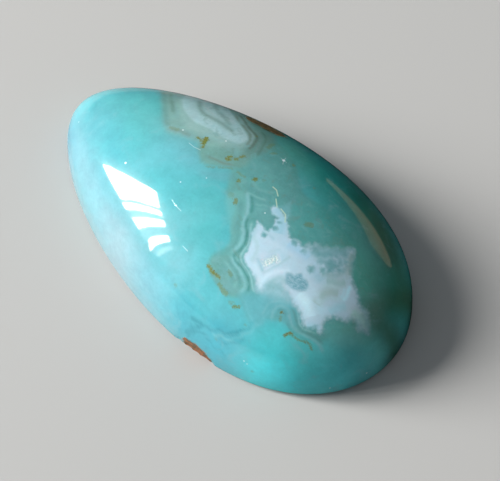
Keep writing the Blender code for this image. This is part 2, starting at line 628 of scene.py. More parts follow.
def keep_colour(name, paint):
    attribute = stone.data.attributes.new(name, "FLOAT_COLOR", "POINT")
    with_alpha = np.column_stack([np.clip(paint, 0.0, 1.0), np.ones(vertex_count)])
    attribute.data.foreach_set("color", with_alpha.astype(np.float32).ravel())


def keep_number(name, values):
    attribute = stone.data.attributes.new(name, "FLOAT", "POINT")
    attribute.data.foreach_set("value", np.asarray(values, dtype=np.float32))


print("vertices to paint:", vertex_count, "one pixel is", round(PIXEL / MM, 4), "mm")

# %% [markdown]
# ## The body
# Copper colours the chalcedony cyan. It drifts to a greener tip, to clear teal at the upper
# right and to deep green at the far rim, darkened there further by painted shade on the side
# away from the window. Low on the left hang a lilac haze and smoky wisps. Bright cyan clouds
# low on the near rim are a painted glow of window light coming through the stone, and a pale
# cloud beside the window's reflection is a painted haze around it.

# %% Cloud the body
BODY_CYAN = (0.102, 0.425, 0.470)
BODY_CLOUDS_AND_PAINTED_GLOW = [
    # colour, strength, half length and half width in mm, turn in degrees, middle in pixels
    ((0.096, 0.395, 0.400), 0.85, 4.0, 2.6, 10, (145, 112)),
    ((0.110, 0.330, 0.385), 0.80, 2.6, 2.6, 0, (86, 128)),
    ((0.195, 0.370, 0.435), 0.75, 4.6, 1.1, -25, (84, 168)),
    ((0.080, 0.365, 0.430), 0.55, 2.4, 1.0, -40, (114, 153)),
    ((0.210, 0.395, 0.455), 0.85, 3.6, 1.1, -25, (108, 222)),
    ((0.300, 0.430, 0.480), 0.85, 2.6, 1.2, -15, (124, 252)),
    ((0.190, 0.395, 0.470), 0.70, 2.6, 1.0, -15, (150, 288)),
    ((0.045, 0.345, 0.445), 0.85, 2.6, 1.3, -8, (192, 332)),
    ((0.155, 0.415, 0.480), 0.60, 2.4, 1.2, 10, (190, 155)),
    ((0.140, 0.440, 0.500), 0.55, 1.0, 3.0, -20, (150, 158)),
    ((0.080, 0.440, 0.450), 0.60, 1.6, 3.0, 25, (205, 215)),
    ((0.190, 0.445, 0.500), 0.75, 1.5, 1.5, 0, (177, 266)),
    ((0.130, 0.450, 0.490), 0.60, 1.8, 1.2, 0, (208, 311)),
    ((0.120, 0.365, 0.445), 0.85, 2.2, 1.4, 10, (236, 354)),
    ((0.050, 0.400, 0.500), 0.60, 1.2, 0.9, 10, (217, 346)),
    ((0.105, 0.480, 0.510), 0.95, 2.2, 2.2, 0, (277, 350)),
    # the next two: painted glow of window light coming out through the near rim
    ((0.070, 0.660, 0.715), 0.80, 2.6, 1.8, 0, (292, 380)),
    ((0.130, 0.690, 0.740), 0.90, 2.4, 1.6, 0, (327, 372)),
    ((0.120, 0.515, 0.520), 0.70, 1.6, 1.6, 0, (335, 340)),
    ((0.075, 0.400, 0.395), 0.55, 1.3, 1.1, 0, (302, 349)),
    # painted glow of window light coming out through the near rim
    ((0.100, 0.800, 0.880), 0.65, 2.2, 0.6, 20, (268, 385)),
    # painted haze around the window's reflection
    ((0.150, 0.440, 0.485), 0.65, 1.0, 2.4, -35, (178, 222)),
    ((0.155, 0.420, 0.450), 0.60, 2.4, 0.8, 0, (176, 134)),
]
RIM_CLOUDS_AND_PAINTED_SHADE = [
    # the same columns, laid later, over the veils; the darkest, at the far right rim, are
    # partly painted shade
    ((0.005, 0.320, 0.295), 0.90, 4.2, 1.7, -28, (324, 180)),
    ((0.012, 0.235, 0.185), 0.85, 3.6, 1.4, -28, (360, 205)),
    ((0.100, 0.370, 0.310), 0.75, 3.4, 1.2, -20, (292, 148)),
    ((0.070, 0.290, 0.220), 0.60, 2.2, 1.2, -28, (353, 238)),
    ((0.085, 0.390, 0.320), 0.85, 2.2, 2.8, -15, (374, 276)),
    ((0.045, 0.330, 0.260), 0.80, 1.8, 3.6, -10, (388, 292)),
    ((0.190, 0.610, 0.570), 0.72, 2.1, 1.4, 0, (366, 328)),
    # the next three: the far rim's deeper green, darkened further by painted shade away from
    # the window
    ((0.062, 0.180, 0.110), 0.80, 0.8, 4.2, -12, (408, 300)),
    ((0.060, 0.150, 0.090), 0.75, 3.0, 1.0, 25, (395, 354)),
    ((0.075, 0.165, 0.090), 0.80, 3.4, 1.0, -28, (385, 238)),
    ((0.040, 0.340, 0.325), 0.50, 2.2, 1.0, -28, (338, 213)),
    ((0.025, 0.240, 0.350), 0.85, 3.6, 0.7, -41, (67, 138)),
]
body_paint = np.tile(np.array(BODY_CYAN), (vertex_count, 1))
for cloud in BODY_CLOUDS_AND_PAINTED_GLOW:
    paint_cloud(body_paint, *cloud)
print("body clouds:", len(BODY_CLOUDS_AND_PAINTED_GLOW))

# %% [markdown]
# ## Veils and patches
# A grey-green veil surrounds the star and climbs to a pale patch at the far edge. Between the
# star's lobes lies a thin bluish film. Each is an outline with a soft edge.

# %% Lay the veils
GREEN_VEIL = [
    (199, 90), (199, 150), (203, 162), (213, 166), (231, 168), (230, 178), (228, 188),
    (226, 193), (231, 197), (237, 204), (233.5, 215), (231, 225), (231, 235), (229, 243),
    (220, 251), (213, 254), (208.5, 260), (207.5, 267), (213, 278), (220, 289), (228, 296),
    (240, 299), (246, 308), (249, 318), (256, 322), (265, 317), (276, 320), (286, 323),
    (294, 331), (306, 336), (318, 342), (332, 337), (350, 336), (366, 346), (380, 330),
    (384, 305), (377, 285), (364, 262), (352, 244), (340, 226), (326, 208), (308, 197),
    (301, 186), (296, 165), (284, 148), (262, 128), (240, 100),
]
BLUE_FILM = [
    (240, 296), (252, 292), (262, 294), (280, 298), (294, 304), (300, 318), (296, 326),
    (284, 323), (270, 318), (258, 325), (248, 320), (243, 308),
]
VEIL_PATCHES = [
    # colour, strength, soft edge in pixels, outline
    ((0.118, 0.352, 0.340), 0.92, 5.0, GREEN_VEIL),
    ((0.160, 0.350, 0.400), 0.35, 9.0, [
        (200, 168), (214, 171), (232, 171), (236, 178), (226, 182), (210, 179), (200, 175)]),
    ((0.180, 0.350, 0.310), 0.75, 9.0, [
        (198, 148), (206, 144), (222, 150), (240, 148), (250, 156), (246, 166), (230, 168),
        (213, 165), (202, 162)]),
    ((0.135, 0.370, 0.350), 0.70, 8.0, [
        (232, 168), (242, 172), (248, 184), (244, 196), (238, 206), (231, 199), (226, 193),
        (229, 182)]),
    ((0.155, 0.395, 0.400), 0.70, 8.0, [
        (254, 202), (268, 207), (272, 214), (272, 223), (267, 227), (258, 219), (252, 214)]),
    ((0.095, 0.400, 0.390), 0.60, 14.0, [
        (292, 205), (318, 205), (336, 224), (330, 240), (304, 242), (292, 228)]),
    ((0.150, 0.340, 0.320), 0.75, 4.0, [
        (212, 258), (222, 255), (232, 256), (238, 264), (243, 274), (243, 288), (236, 296),
        (225, 293), (217, 285), (209, 272)]),
    ((0.170, 0.395, 0.405), 0.60, 7.0, [
        (224, 262), (232, 262), (238, 272), (239, 284), (231, 288), (223, 276)]),
    ((0.190, 0.440, 0.430), 0.55, 9.0, [
        (227, 196), (246, 192), (251, 212), (246, 243), (253, 268), (253, 291), (240, 295),
        (240, 270), (227, 253), (232, 236), (228, 215)]),
    ((0.135, 0.425, 0.475), 0.92, 13.0, BLUE_FILM),
    ((0.200, 0.475, 0.535), 0.80, 9.0, [
        (256, 290), (266, 284), (284, 283), (293, 296), (301, 312), (292, 308), (278, 304),
        (264, 300)]),
    ((0.330, 0.560, 0.620), 0.80, 9.0, [
        (262, 291), (268, 284), (282, 282), (288, 290), (293, 299), (283, 299), (272, 296)]),
    ((0.225, 0.500, 0.560), 0.60, 5.0, [
        (279, 210), (282, 206), (287, 204), (291, 201), (290.5, 209), (289, 219), (285, 214)]),
    ((0.145, 0.480, 0.485), 0.65, 9.0, [
        (324, 326), (330, 322), (345, 324), (362, 334), (372, 336), (366, 348), (345, 346),
        (328, 342)]),
]
for patch in VEIL_PATCHES:
    paint_patch(body_paint, *patch)
for cloud in RIM_CLOUDS_AND_PAINTED_SHADE:
    paint_cloud(body_paint, *cloud)
keep_number("veil", np.minimum(depth_inside(GREEN_VEIL), -depth_inside(BLUE_FILM)))
print("veils:", len(VEIL_PATCHES), "rim clouds:", len(RIM_CLOUDS_AND_PAINTED_SHADE))

# %% [markdown]
# ## The pale patch at the far edge
# It has a brownish border on its left, a white core split by two grey streaks, and a fan of
# fine chevron bands at its right end, next to the brown seam.

# %% Paint the pale patch
PATCH_FILLS = [
    # colour, strength, soft edge in pixels, outline
    ((0.225, 0.400, 0.375), 0.95, 12.0, [
        (163, 85), (163, 97), (164.5, 108), (166, 127), (170, 132), (184, 136),
        (197, 141.5), (208, 147), (226, 150), (244, 150), (257, 142), (258, 134),
        (250, 122), (240, 109), (228, 98), (200, 84)]),
    ((0.300, 0.480, 0.470), 0.75, 9.0, [
        (178, 100), (182, 122), (194, 132), (210, 138), (230, 146), (246, 144), (240, 126),
        (226, 108), (206, 98), (190, 96)]),
    ((0.150, 0.275, 0.235), 0.65, 12.0, [
        (243, 110), (252, 119), (262, 124), (272, 131), (276, 139), (270, 149), (258, 155),
        (248, 157), (243, 151), (251, 146), (258, 139), (252, 128)]),
    ((0.380, 0.575, 0.600), 0.95, 3.5, [
        (184, 97), (182.5, 104), (186, 113), (191, 119), (198.7, 123.5), (206, 127),
        (213.5, 131), (221, 136), (228, 140), (236.6, 143.5), (244, 142.5), (248.3, 138.5),
        (245.5, 131.5), (241, 125.5), (236.6, 120), (232.5, 114), (229, 109), (219, 103),
        (208, 99), (196, 96)]),
]
PATCH_LINES = [
    # colour, strength, width in pixels, places in pixels
    ((0.135, 0.265, 0.235), 0.60, 8.0, [(163, 92), (165, 103), (165, 115), (168.5, 127)]),
    ((0.142, 0.262, 0.220), 0.65, 5.0, [(171, 93), (172, 103), (174, 113)]),
    ((0.180, 0.295, 0.270), 0.75, 6.0, [(169, 129), (177, 130), (184, 132.5), (191, 136.5)]),
    ((0.210, 0.345, 0.315), 0.80, 6.8, [
        (199, 101), (201, 109), (205, 114), (212, 118), (220, 122.5), (228, 128),
        (234, 132.5)]),
    ((0.210, 0.360, 0.345), 0.75, 6.4, [(213, 101), (216, 107), (221, 114), (226, 120),
                                       (231, 126)]),
    ((0.390, 0.530, 0.535), 0.75, 4.0, [(204, 105), (209, 111), (214, 114.5)]),
    ((0.370, 0.570, 0.600), 0.70, 4.0, [(190, 112), (197, 119), (210, 125), (222, 131.5),
                                       (234, 138.5)]),
    ((0.185, 0.270, 0.240), 0.95, 3.4, [
        (231, 106), (236.6, 116.5), (243.9, 126), (249.7, 134), (250.4, 141), (246, 146)]),
    ((0.285, 0.420, 0.420), 0.80, 2.4, [
        (237, 111), (242.4, 121), (251, 131.5), (253.5, 138), (250.5, 146)]),
    ((0.125, 0.200, 0.165), 0.95, 3.8, [
        (239.5, 115), (248.3, 127), (255.5, 134.5), (257.5, 139), (253.6, 145), (248, 150)]),
    ((0.175, 0.310, 0.290), 0.70, 2.6, [(257, 131), (261.8, 138), (259.5, 145), (254, 153)]),
    ((0.105, 0.215, 0.180), 0.65, 2.6, [(261, 131), (266, 139), (263, 147), (256, 156)]),
    ((0.165, 0.215, 0.175), 0.55, 3.0, [(206, 156), (214, 159), (222, 163), (234, 165)]),
    ((0.125, 0.125, 0.050), 0.85, 10.0, [(250, 120), (259, 124.5), (269, 130), (281, 135.5)]),
    ((0.080, 0.080, 0.030), 0.75, 5.0, [(262, 127.5), (270, 131), (280, 135.5)]),
]
for patch in PATCH_FILLS:
    paint_patch(body_paint, *patch)
for line in PATCH_LINES:
    paint_line(body_paint, *line)
print("patch: fills", len(PATCH_FILLS), "lines", len(PATCH_LINES))

# %% [markdown]
# ## Agate lines
# Fine layers follow the wall of the old cavity like tide lines: pale, dark, pale again. They
# hug the star's left lobe, ring its lower lobe, and wander off to the left below it.

# %% Draw the agate lines
LINE_PALE = (0.235, 0.500, 0.535)
LINE_FAINT = (0.205, 0.460, 0.465)
LINE_DARK = (0.072, 0.275, 0.262)
LINE_SHADE = (0.115, 0.330, 0.325)
LINE_HALO = (0.360, 0.630, 0.665)
LINE_BLUE = (0.165, 0.470, 0.520)
LINE_DEEP_BLUE = (0.052, 0.300, 0.360)
LINE_SMOKE = (0.034, 0.235, 0.275)
AGATE_LINES = [
    # colour, strength, width in pixels, places in pixels
    (LINE_SHADE, 0.65, 6.0, [
        (241, 201), (240.5, 212), (238, 221), (237, 230), (237, 238), (232, 247),
        (225, 252)]),
    (LINE_PALE, 0.90, 3.8, [
        (247, 191.5), (248, 198), (248, 209), (246, 215), (243.4, 221.3), (242.3, 226.6),
        (243, 233), (241, 241), (237.3, 246.3), (231, 251.7)]),
    (LINE_FAINT, 0.75, 3.0, [(248, 192), (253, 195.5), (259, 198.5), (268, 201)]),
    (LINE_FAINT, 0.60, 2.2, [(254, 203.5), (258, 205), (263, 205), (268, 207), (273, 207)]),
    (LINE_FAINT, 0.50, 2.0, [(256, 208), (262, 209.5), (268, 210.5)]),
    (LINE_FAINT, 0.50, 4.5, [(253, 180), (256, 187), (264, 191), (275, 193.5)]),
    (LINE_DARK, 0.90, 3.6, [(250.5, 196), (251.8, 202), (252, 208), (250.5, 214)]),
    (LINE_DARK, 0.92, 2.8, [
        (249, 217), (246, 222), (245.8, 227), (246.5, 231), (246.5, 238), (244.7, 243),
        (241, 248.5), (235.9, 252.9), (233.5, 257.5), (236.4, 262.2), (240.6, 265.8),
        (243.8, 270.6), (246.3, 275), (248.2, 280), (249, 284), (248.2, 289), (246.5, 293)]),
    (LINE_HALO, 0.62, 3.0, [
        (252, 222), (250.4, 229), (250, 236), (248.8, 242), (246, 247), (243, 251),
        (240.8, 255), (241, 259), (243, 264.5), (246.5, 270), (249.7, 275), (251.2, 281),
        (252.5, 288), (255, 293)]),
    (LINE_DARK, 0.45, 1.6, [
        (248.2, 233), (247.8, 240), (245, 246), (240.5, 251), (238, 256), (240, 261),
        (244, 267), (248, 274), (250, 281), (250.5, 289)]),
    (LINE_PALE, 0.80, 3.4, [
        (231, 256), (233.5, 262), (237.5, 267), (240.5, 271.5), (243, 277.5),
        (244.6, 282.5), (243.8, 288), (240.5, 294)]),
    (LINE_SHADE, 0.70, 2.4, [
        (227.5, 258), (231.5, 265), (236, 270.5), (239, 277), (240.6, 283), (239.5, 289)]),
    (LINE_FAINT, 0.60, 2.2, [(225, 261), (229.5, 268), (234, 274), (236.5, 281), (235, 289)]),
    (LINE_SHADE, 0.45, 2.0, [(221, 262), (226, 270), (231, 277), (232, 286)]),
    (LINE_BLUE, 0.70, 2.6, [
        (245, 301), (247.5, 309), (250.5, 316.5), (254.5, 322.5), (258.5, 325.5)]),
    (LINE_SHADE, 0.25, 2.8, [(241, 300), (244.5, 310), (247.5, 318.5), (251.5, 325)]),
    (LINE_BLUE, 0.75, 3.0, [
        (212, 332), (216, 336), (221, 335.5), (225, 338.5), (230, 340), (234, 337.5),
        (240, 337.8), (243.3, 334.3), (250.2, 332.4), (254, 327), (261, 323), (264, 317),
        (269, 311)]),
    (LINE_BLUE, 0.55, 2.2, [
        (222, 331), (228, 335.5), (234, 333), (241, 332), (246, 327.5), (252, 325)]),
    (LINE_DEEP_BLUE, 0.80, 3.0, [
        (194, 323), (199, 327.5), (205, 326), (211, 330.5), (219.4, 329.5), (225, 333.5),
        (233, 332), (243, 329.5)]),
    (LINE_DEEP_BLUE, 0.60, 2.4, [
        (229, 336.5), (236, 334.5), (241, 330.5), (248, 328.5), (251, 323.5), (256, 320)]),
    (LINE_DEEP_BLUE, 0.60, 2.4, [(221, 341), (226, 344), (231, 342), (238, 343), (245, 338)]),
    (LINE_DEEP_BLUE, 0.45, 3.0, [(205, 338), (211, 342), (214, 348), (221, 350), (224, 356)]),
    (LINE_SMOKE, 0.65, 6.0, [(189, 317), (194, 319.5), (198.5, 322.5), (204, 325)]),
    (LINE_SMOKE, 0.50, 5.0, [(185, 333), (190, 330), (195, 328), (201, 329)]),
    (LINE_SMOKE, 0.45, 3.0, [(187, 337.5), (191, 333), (198, 332.5), (206, 335)]),
    (LINE_SMOKE, 0.25, 3.0, [(192, 322), (190, 326), (194, 331), (193, 337)]),
    (LINE_PALE, 0.50, 3.6, [
        (271, 320), (273, 312), (276.5, 307), (282, 305.5), (286.5, 308), (288.5, 313.5),
        (288, 320)]),
    (LINE_SHADE, 0.55, 2.4, [(275.5, 320), (277, 313), (280, 309.5), (284, 311), (285, 319)]),
    (LINE_PALE, 0.45, 2.6, [(262, 315), (266, 307), (273, 302), (282, 301), (290, 305)]),
    (LINE_PALE, 0.60, 3.6, [
        (288.5, 313), (290, 319), (292.3, 325.3), (297, 330.5), (302, 333.5), (307, 336.2),
        (315, 341), (320.5, 346.5), (323, 353)]),
    (LINE_SHADE, 0.85, 2.6, [
        (291.5, 308), (294, 313.5), (295.4, 318.5), (296.8, 322.5), (299.7, 328.2),
        (304, 331.8), (310, 333.8), (318, 339), (323, 345)]),
    (LINE_HALO, 0.50, 1.8, [
        (296, 309), (298, 314), (298.5, 320), (300, 325), (304, 329), (311, 331), (317, 334)]),
    (LINE_SHADE, 0.55, 2.2, [(286, 321), (289.5, 328), (294.5, 333.5), (301, 337), (309, 341)]),
]
for line in AGATE_LINES:
    paint_line(body_paint, *line)
print("agate lines:", len(AGATE_LINES))

# %% [markdown]
# ## The white star
# The star is opaque agate that filled a cavity. Its left lobe ends in a crisp line, and its
# right side breaks up into tiny cauliflower lobes. Its distance is kept as a number for each
# vertex, so the material can cut a crisp or a feathered edge from it. Small windows of
# blue-green chalcedony show through it.

# %% Outline the star
STAR = [
    (274, 206), (278, 207), (281, 209.5), (284, 211.5), (286, 214), (287, 219),
    (288, 223.5), (289.5, 225.5), (288.3, 229), (289.5, 232), (290.5, 237), (294, 238.5),
    (298, 240.5), (301, 243.5), (304, 246), (307, 244.5), (309.5, 242.5), (312, 245.5),
    (316, 242.5), (319, 245.5), (324, 248.5), (328, 246.5), (333, 248.5), (338, 247),
    (341, 249.5), (345, 248.5), (350, 248), (354.5, 249), (355.5, 255), (354, 260),
    (352.8, 266), (352.3, 274), (353.5, 281), (356, 287), (358, 292), (359, 299),
    (360.5, 304), (364, 308), (368, 311.5), (368, 320), (369.5, 328), (369, 334.5),
    (365.5, 333), (361, 330), (357.5, 331), (356, 323), (353.5, 320.5), (350, 320),
    (346.5, 321.5), (343, 321), (339, 319.5), (333, 318.5), (328, 319.5), (325, 321.5),
    (323.5, 326), (322.5, 332), (320.5, 335.5), (318, 332.5), (315.5, 328.8), (310, 328.2),
    (306, 327.5), (303, 325.5), (300.8, 320), (300, 314.5), (297.5, 310), (294, 306),
    (290.5, 302), (287, 297.5), (283, 293), (279, 290), (274, 288.5), (269, 289.5),
    (265, 291.5), (261, 292.5), (257, 291.5), (255.3, 288),
    (254.3, 283), (253, 277), (250.5, 271.5), (247.5, 267), (244.8, 262), (243.2, 257.5),
    (245, 253.5), (247, 250), (248.6, 246.5), (250, 242), (250.5, 237), (251, 233),
    (252.5, 229.5), (255, 225.5), (256, 222), (257.5, 220), (260, 222.5), (263, 225),
    (265, 228), (268, 230), (270.5, 228.5), (272.5, 225.5), (274, 222), (274, 219.5),
    (277, 218), (275.5, 216), (272.5, 214), (271, 210.5), (272, 207),
]
GREEN_WINDOW = [
    (325, 262), (331, 260), (335, 261), (337, 264), (340, 260), (341.5, 263), (339, 266),
    (336, 268), (341, 269), (342, 271), (339, 271), (334, 269.5), (331, 272), (327, 271.5),
    (326.5, 266),
]
SPECKLED_WINDOW = [
    (286.5, 273.5), (290, 272.5), (294, 275), (297, 273.5), (301, 273.5), (303, 278),
    (307, 280), (308.5, 285), (306.5, 290), (301, 291.5), (296, 290.5), (291, 288),
    (287, 284), (286, 279),
]
SMALL_WINDOWS = [
    # middle and radius in pixels
    (310.6, 269.5, 2.0), (323.8, 270.5, 1.3), (263.5, 234.5, 1.8), (275, 228, 1.5),
    (294.3, 242, 1.6), (314, 248.7, 1.3), (345.5, 254.5, 1.3), (330.5, 255.5, 1.0),
    (340.3, 251.5, 0.8), (303.5, 250.5, 0.7), (318.5, 254.5, 0.6), (279.5, 222.5, 0.8),
    (325.5, 255, 0.6), (336, 256, 0.6), (321, 262, 0.6), (346, 262, 0.6),
]
SOFT_EDGES = [
    # middle in pixels, softness
    ((275, 290), 1.0), ((322, 246), 0.45), ((342, 247), 0.45), ((366, 322), 0.35),
]
SOFT_EDGE_REACH = 1.1 * MM
WINDOW_SHRINK = 0.07 * MM
STAR_LOW_SHRINK = 1.2 * MM
LOW_ON_THE_STONE = 2.0 * MM
STAR_GROUND = (0.195, 0.430, 0.475)
STAR_GROUND_COVER = 0.9
STAR_GROUND_EDGE = 3
CRISP_AND_FEATHERED = [(262, 255), (348, 275)]
TOP_FRAY_PIXEL = (320, 246)
TOP_FRAY_REACH = 2.0 * MM
TOP_FRAY = 0.9


def fading_from(pixel, reach):
    """1 at the place that shows at a pixel, and next to 0 at twice the reach from it."""
    return np.exp(-(distance_from(pixel) / reach) ** 2)


star = depth_inside(STAR)
ground_edge = STAR_GROUND_EDGE * PIXEL
star_ground = smooth_step(star, -ground_edge, ground_edge) * STAR_GROUND_COVER
mix_in(body_paint, slice(None), STAR_GROUND, star_ground)
star = np.minimum(star, WINDOW_SHRINK - depth_inside(GREEN_WINDOW))
for x, y, radius in SMALL_WINDOWS:
    star = np.minimum(star, distance_from((x, y)) - radius * PIXEL)
low_share = np.clip(1 - places[:, 2] / LOW_ON_THE_STONE, 0.0, 1.0)
star = star - low_share * STAR_LOW_SHRINK
keep_number("star", star)
keep_number("speckled_window", depth_inside(SPECKLED_WINDOW))
soft_edge = np.zeros(vertex_count)
for pixel, softness in SOFT_EDGES:
    soft_edge = np.maximum(soft_edge, softness * fading_from(pixel, SOFT_EDGE_REACH))
keep_number("soft_edge", soft_edge)
crisp_side, feathered_side = on_surface(CRISP_AND_FEATHERED)[:, :2]
crossing = feathered_side - crisp_side
feather = np.clip((plan - crisp_side) @ crossing / (crossing @ crossing), 0.0, 1.0)
feather = np.maximum(feather, TOP_FRAY * fading_from(TOP_FRAY_PIXEL, TOP_FRAY_REACH))
keep_number("feather", feather)
print("star: deepest, mm:", round(float(star.max()) / MM, 2))

# %% [markdown]
# ## Shades of the star
# The white is bluish where it is thin and brightest in its lower lobe, with a greyish arc
# across its middle and a greenish rim on the right. Two thin greyish strokes beside the
# crystal pocket are its painted shadow.

# %% Paint the star
STAR_WHITE = (0.500, 0.670, 0.765)
STAR_STROKES = [
    # colour, strength, width in pixels, places in pixels
    ((0.360, 0.620, 0.725), 0.85, 16.0, [(278, 208), (281, 216), (281, 226), (279, 234)]),
    ((0.360, 0.590, 0.660), 0.65, 5.0, [(257, 222), (255, 230), (251, 240)]),
    ((0.405, 0.645, 0.790), 0.80, 13.0, [(288, 243), (299, 250), (309, 258)]),
    ((0.220, 0.460, 0.500), 0.85, 13.0, [(314, 249), (323, 255), (334, 251), (347, 252)]),
    ((0.360, 0.600, 0.700), 0.70, 12.0, [(311, 266), (318, 276), (322, 282)]),
    ((0.520, 0.700, 0.800), 0.60, 12.0, [(290, 258), (299, 264), (303, 270)]),
    ((0.540, 0.685, 0.780), 0.70, 9.0, [(262, 252), (266, 272), (276, 274), (284, 268)]),
    ((0.300, 0.460, 0.430), 0.90, 7.0, [(353, 254), (350.5, 264), (350.5, 276)]),
    ((0.440, 0.580, 0.600), 0.60, 5.0, [(346, 258), (346, 268), (347, 280)]),
    ((0.330, 0.535, 0.545), 0.80, 11.0, [(326, 281), (338, 283), (346, 282)]),
    ((0.615, 0.835, 0.930), 0.95, 15.0, [(297, 294), (304, 301), (309, 309), (312, 317)]),
    ((0.400, 0.700, 0.820), 0.75, 8.0, [(306, 326), (313, 326), (319, 330)]),
    ((0.500, 0.740, 0.840), 0.80, 9.0, [(316, 299), (320, 306), (322, 314)]),
    ((0.395, 0.675, 0.765), 0.85, 11.0, [(329, 313), (338, 308), (346, 306)]),
    ((0.385, 0.650, 0.620), 0.90, 12.0, [(352, 312), (360, 318), (366, 328)]),
    ((0.360, 0.530, 0.530), 0.85, 11.0, [(316, 304), (322, 295.5), (329, 292), (339, 293.5)]),
    ((0.380, 0.600, 0.650), 0.80, 10.0, [(266, 288), (275, 286), (284, 290)]),
    ((0.600, 0.720, 0.790), 0.50, 6.0, [(255, 262), (258, 272), (260, 284)]),
    ((0.620, 0.770, 0.850), 0.75, 4.5, [
        (259, 289), (262, 281), (267, 275.5), (275, 272), (283, 270.5), (290, 270)]),
    ((0.345, 0.560, 0.600), 0.70, 6.0, [(269, 287), (274, 280), (281, 278), (287, 284)]),
    ((0.585, 0.740, 0.830), 0.50, 6.0, [(283, 285), (290, 291), (297, 295)]),
    ((0.560, 0.760, 0.850), 0.55, 7.0, [(312, 288), (318, 297), (319, 304)]),
    ((0.420, 0.600, 0.650), 0.60, 5.0, [(253, 236), (258, 246), (255, 256), (252, 262)]),
    ((0.560, 0.710, 0.800), 0.50, 5.0, [(264, 238), (273, 243), (284, 250), (293, 256)]),
    ((0.340, 0.560, 0.650), 0.50, 4.0, [(262, 230), (268, 234), (274, 240)]),
    ((0.270, 0.470, 0.490), 0.65, 7.0, [(322, 274), (334, 275), (343, 272), (348, 265)]),
    ((0.280, 0.490, 0.465), 0.70, 7.0, [(361, 312), (366, 322), (369, 333)]),
    ((0.470, 0.660, 0.690), 0.60, 3.0, [(322, 286.5), (331, 286), (341, 289)]),
    ((0.450, 0.665, 0.715), 0.60, 3.0, [(322, 304), (328, 298.5), (336, 298.5), (343, 300)]),
    ((0.540, 0.830, 0.930), 0.95, 4.0, [(351, 286), (349, 291), (347.5, 296), (343, 301)]),
    ((0.470, 0.760, 0.860), 0.60, 3.0, [(345, 288), (344, 294), (341, 298)]),
    # the next two: painted shadow of the crystal pocket, along its left side and under its comb
    ((0.350, 0.560, 0.630), 0.70, 4.0, [(258, 257), (260, 265), (263, 272)]),
    ((0.400, 0.600, 0.660), 0.65, 3.0, [(263, 272.5), (272, 268), (282, 262), (291, 256)]),
    ((0.430, 0.620, 0.690), 0.50, 3.0, [(268, 252), (274, 251), (281, 249.5)]),
]
star_paint = np.tile(np.array(STAR_WHITE), (vertex_count, 1))
for line in STAR_STROKES:
    paint_line(star_paint, *line, taper=1.0)
print("star strokes:", len(STAR_STROKES))

# %% [markdown]
# ## Specks
# Olive and rust specks of iron and copper minerals dot the veil. For each vertex the distance
# to the nearest speck's rim is kept, and the material makes its outline ragged.

# %% Dot the specks
SPECKS = [
    # places in pixels that the speck runs through, radius in pixels, strength
    ([(197.3, 137.5), (200, 139), (203.5, 140.8)], 1.3, 0.85),
    ([(206.3, 138.4), (205.5, 140.5), (203.8, 143)], 2.3, 1.0),
    ([(205, 142), (203, 147)], 1.5, 0.9), ([(200, 139.5), (204, 143.5)], 1.2, 0.7),
    ([(227, 159.3), (228.5, 157), (231, 156.2)], 1.5, 0.95),
    ([(227.5, 160.3), (230, 160), (231, 157.5)], 1.1, 0.85),
    ([(235.3, 159.5), (237.5, 158.8)], 1.5, 0.85), ([(240.5, 157), (244.3, 156.3)], 1.5, 0.8),
    ([(238, 172), (241, 175), (245, 177)], 1.2, 0.35), ([(238.8, 180.7)], 2.1, 0.75),
    ([(254.3, 179.5), (256, 179.4)], 2.0, 0.85), ([(264, 180.5)], 1.6, 0.25),
    ([(235.8, 200), (235.3, 203)], 2.0, 0.70), ([(231, 195)], 3.0, 0.22),
    ([(208, 266), (210.3, 267.5)], 1.7, 0.85), ([(211, 270.5), (213.3, 272.5)], 1.7, 0.95),
    ([(215.5, 274), (217.3, 276), (219.5, 277.8)], 1.5, 0.80),
    ([(219, 284.5), (221, 287)], 1.8, 0.50), ([(223, 290.5), (225.5, 294)], 2.3, 0.50),
    ([(229.5, 272), (231, 275)], 2.0, 0.40), ([(233.8, 306.9), (239.5, 306.8)], 1.5, 0.85),
    ([(229.5, 302.3), (233, 302.5)], 1.6, 0.35), ([(175.6, 285)], 2.0, 0.35),
    ([(215.8, 339)], 1.7, 0.30), ([(281.3, 312.2)], 1.5, 0.85),
    ([(280.3, 316.5), (280.6, 320)], 1.6, 0.40), ([(252, 371.5)], 1.8, 0.35),
    ([(284.5, 335.6), (288.5, 333.8), (291.5, 333.4)], 1.5, 0.90),
    ([(293.5, 336.3), (297.5, 339.3), (301, 341), (306.5, 341.8), (310, 344.7),
      (311.8, 349.8)], 1.2, 0.60),
    ([(245.5, 325)], 1.6, 0.30), ([(307, 224.5), (311, 225)], 2.6, 0.45),
    ([(268.5, 147.5), (273, 144.5)], 2.2, 0.35), ([(272, 153.5), (275.5, 153.3)], 1.6, 0.40),
    ([(171, 127.5), (178, 129.5)], 1.8, 0.30), ([(207, 166.5), (214, 167.5)], 1.2, 0.35),
    ([(218, 167.5), (232, 168.3)], 1.0, 0.35), ([(283, 213), (284, 216)], 1.0, 0.30),
    ([(314, 188)], 1.5, 0.30), ([(256.7, 136.3)], 1.6, 0.45), ([(293.5, 165.2)], 1.6, 0.60),
]
FAR_FROM_SPECKS = 0.5 * MM
SPECK_SPREAD = 1.15
speck = np.full(vertex_count, -FAR_FROM_SPECKS)
speck_strength = np.zeros(vertex_count)
for pixels, radius, strength in SPECKS:
    line = on_surface(pixels if len(pixels) > 1 else pixels * 2)
    indices = near_line(places, line, FAR_FROM_SPECKS)
    depth = radius * SPECK_SPREAD * PIXEL - line_distance(places[indices], line)[0]
    closer = depth > speck[indices]
    speck[indices[closer]] = depth[closer]
    speck_strength[indices[closer]] = strength
keep_number("speck", speck)
keep_number("speck_strength", speck_strength)
print("specks:", len(SPECKS))

# %% [markdown]
# ## The brown seam
# Brown matrix shows in the chip and as a strip low on the far side. The two are taken as one
# seam of host rock that runs down the far flank and across the back, which the photograph
# can't show.

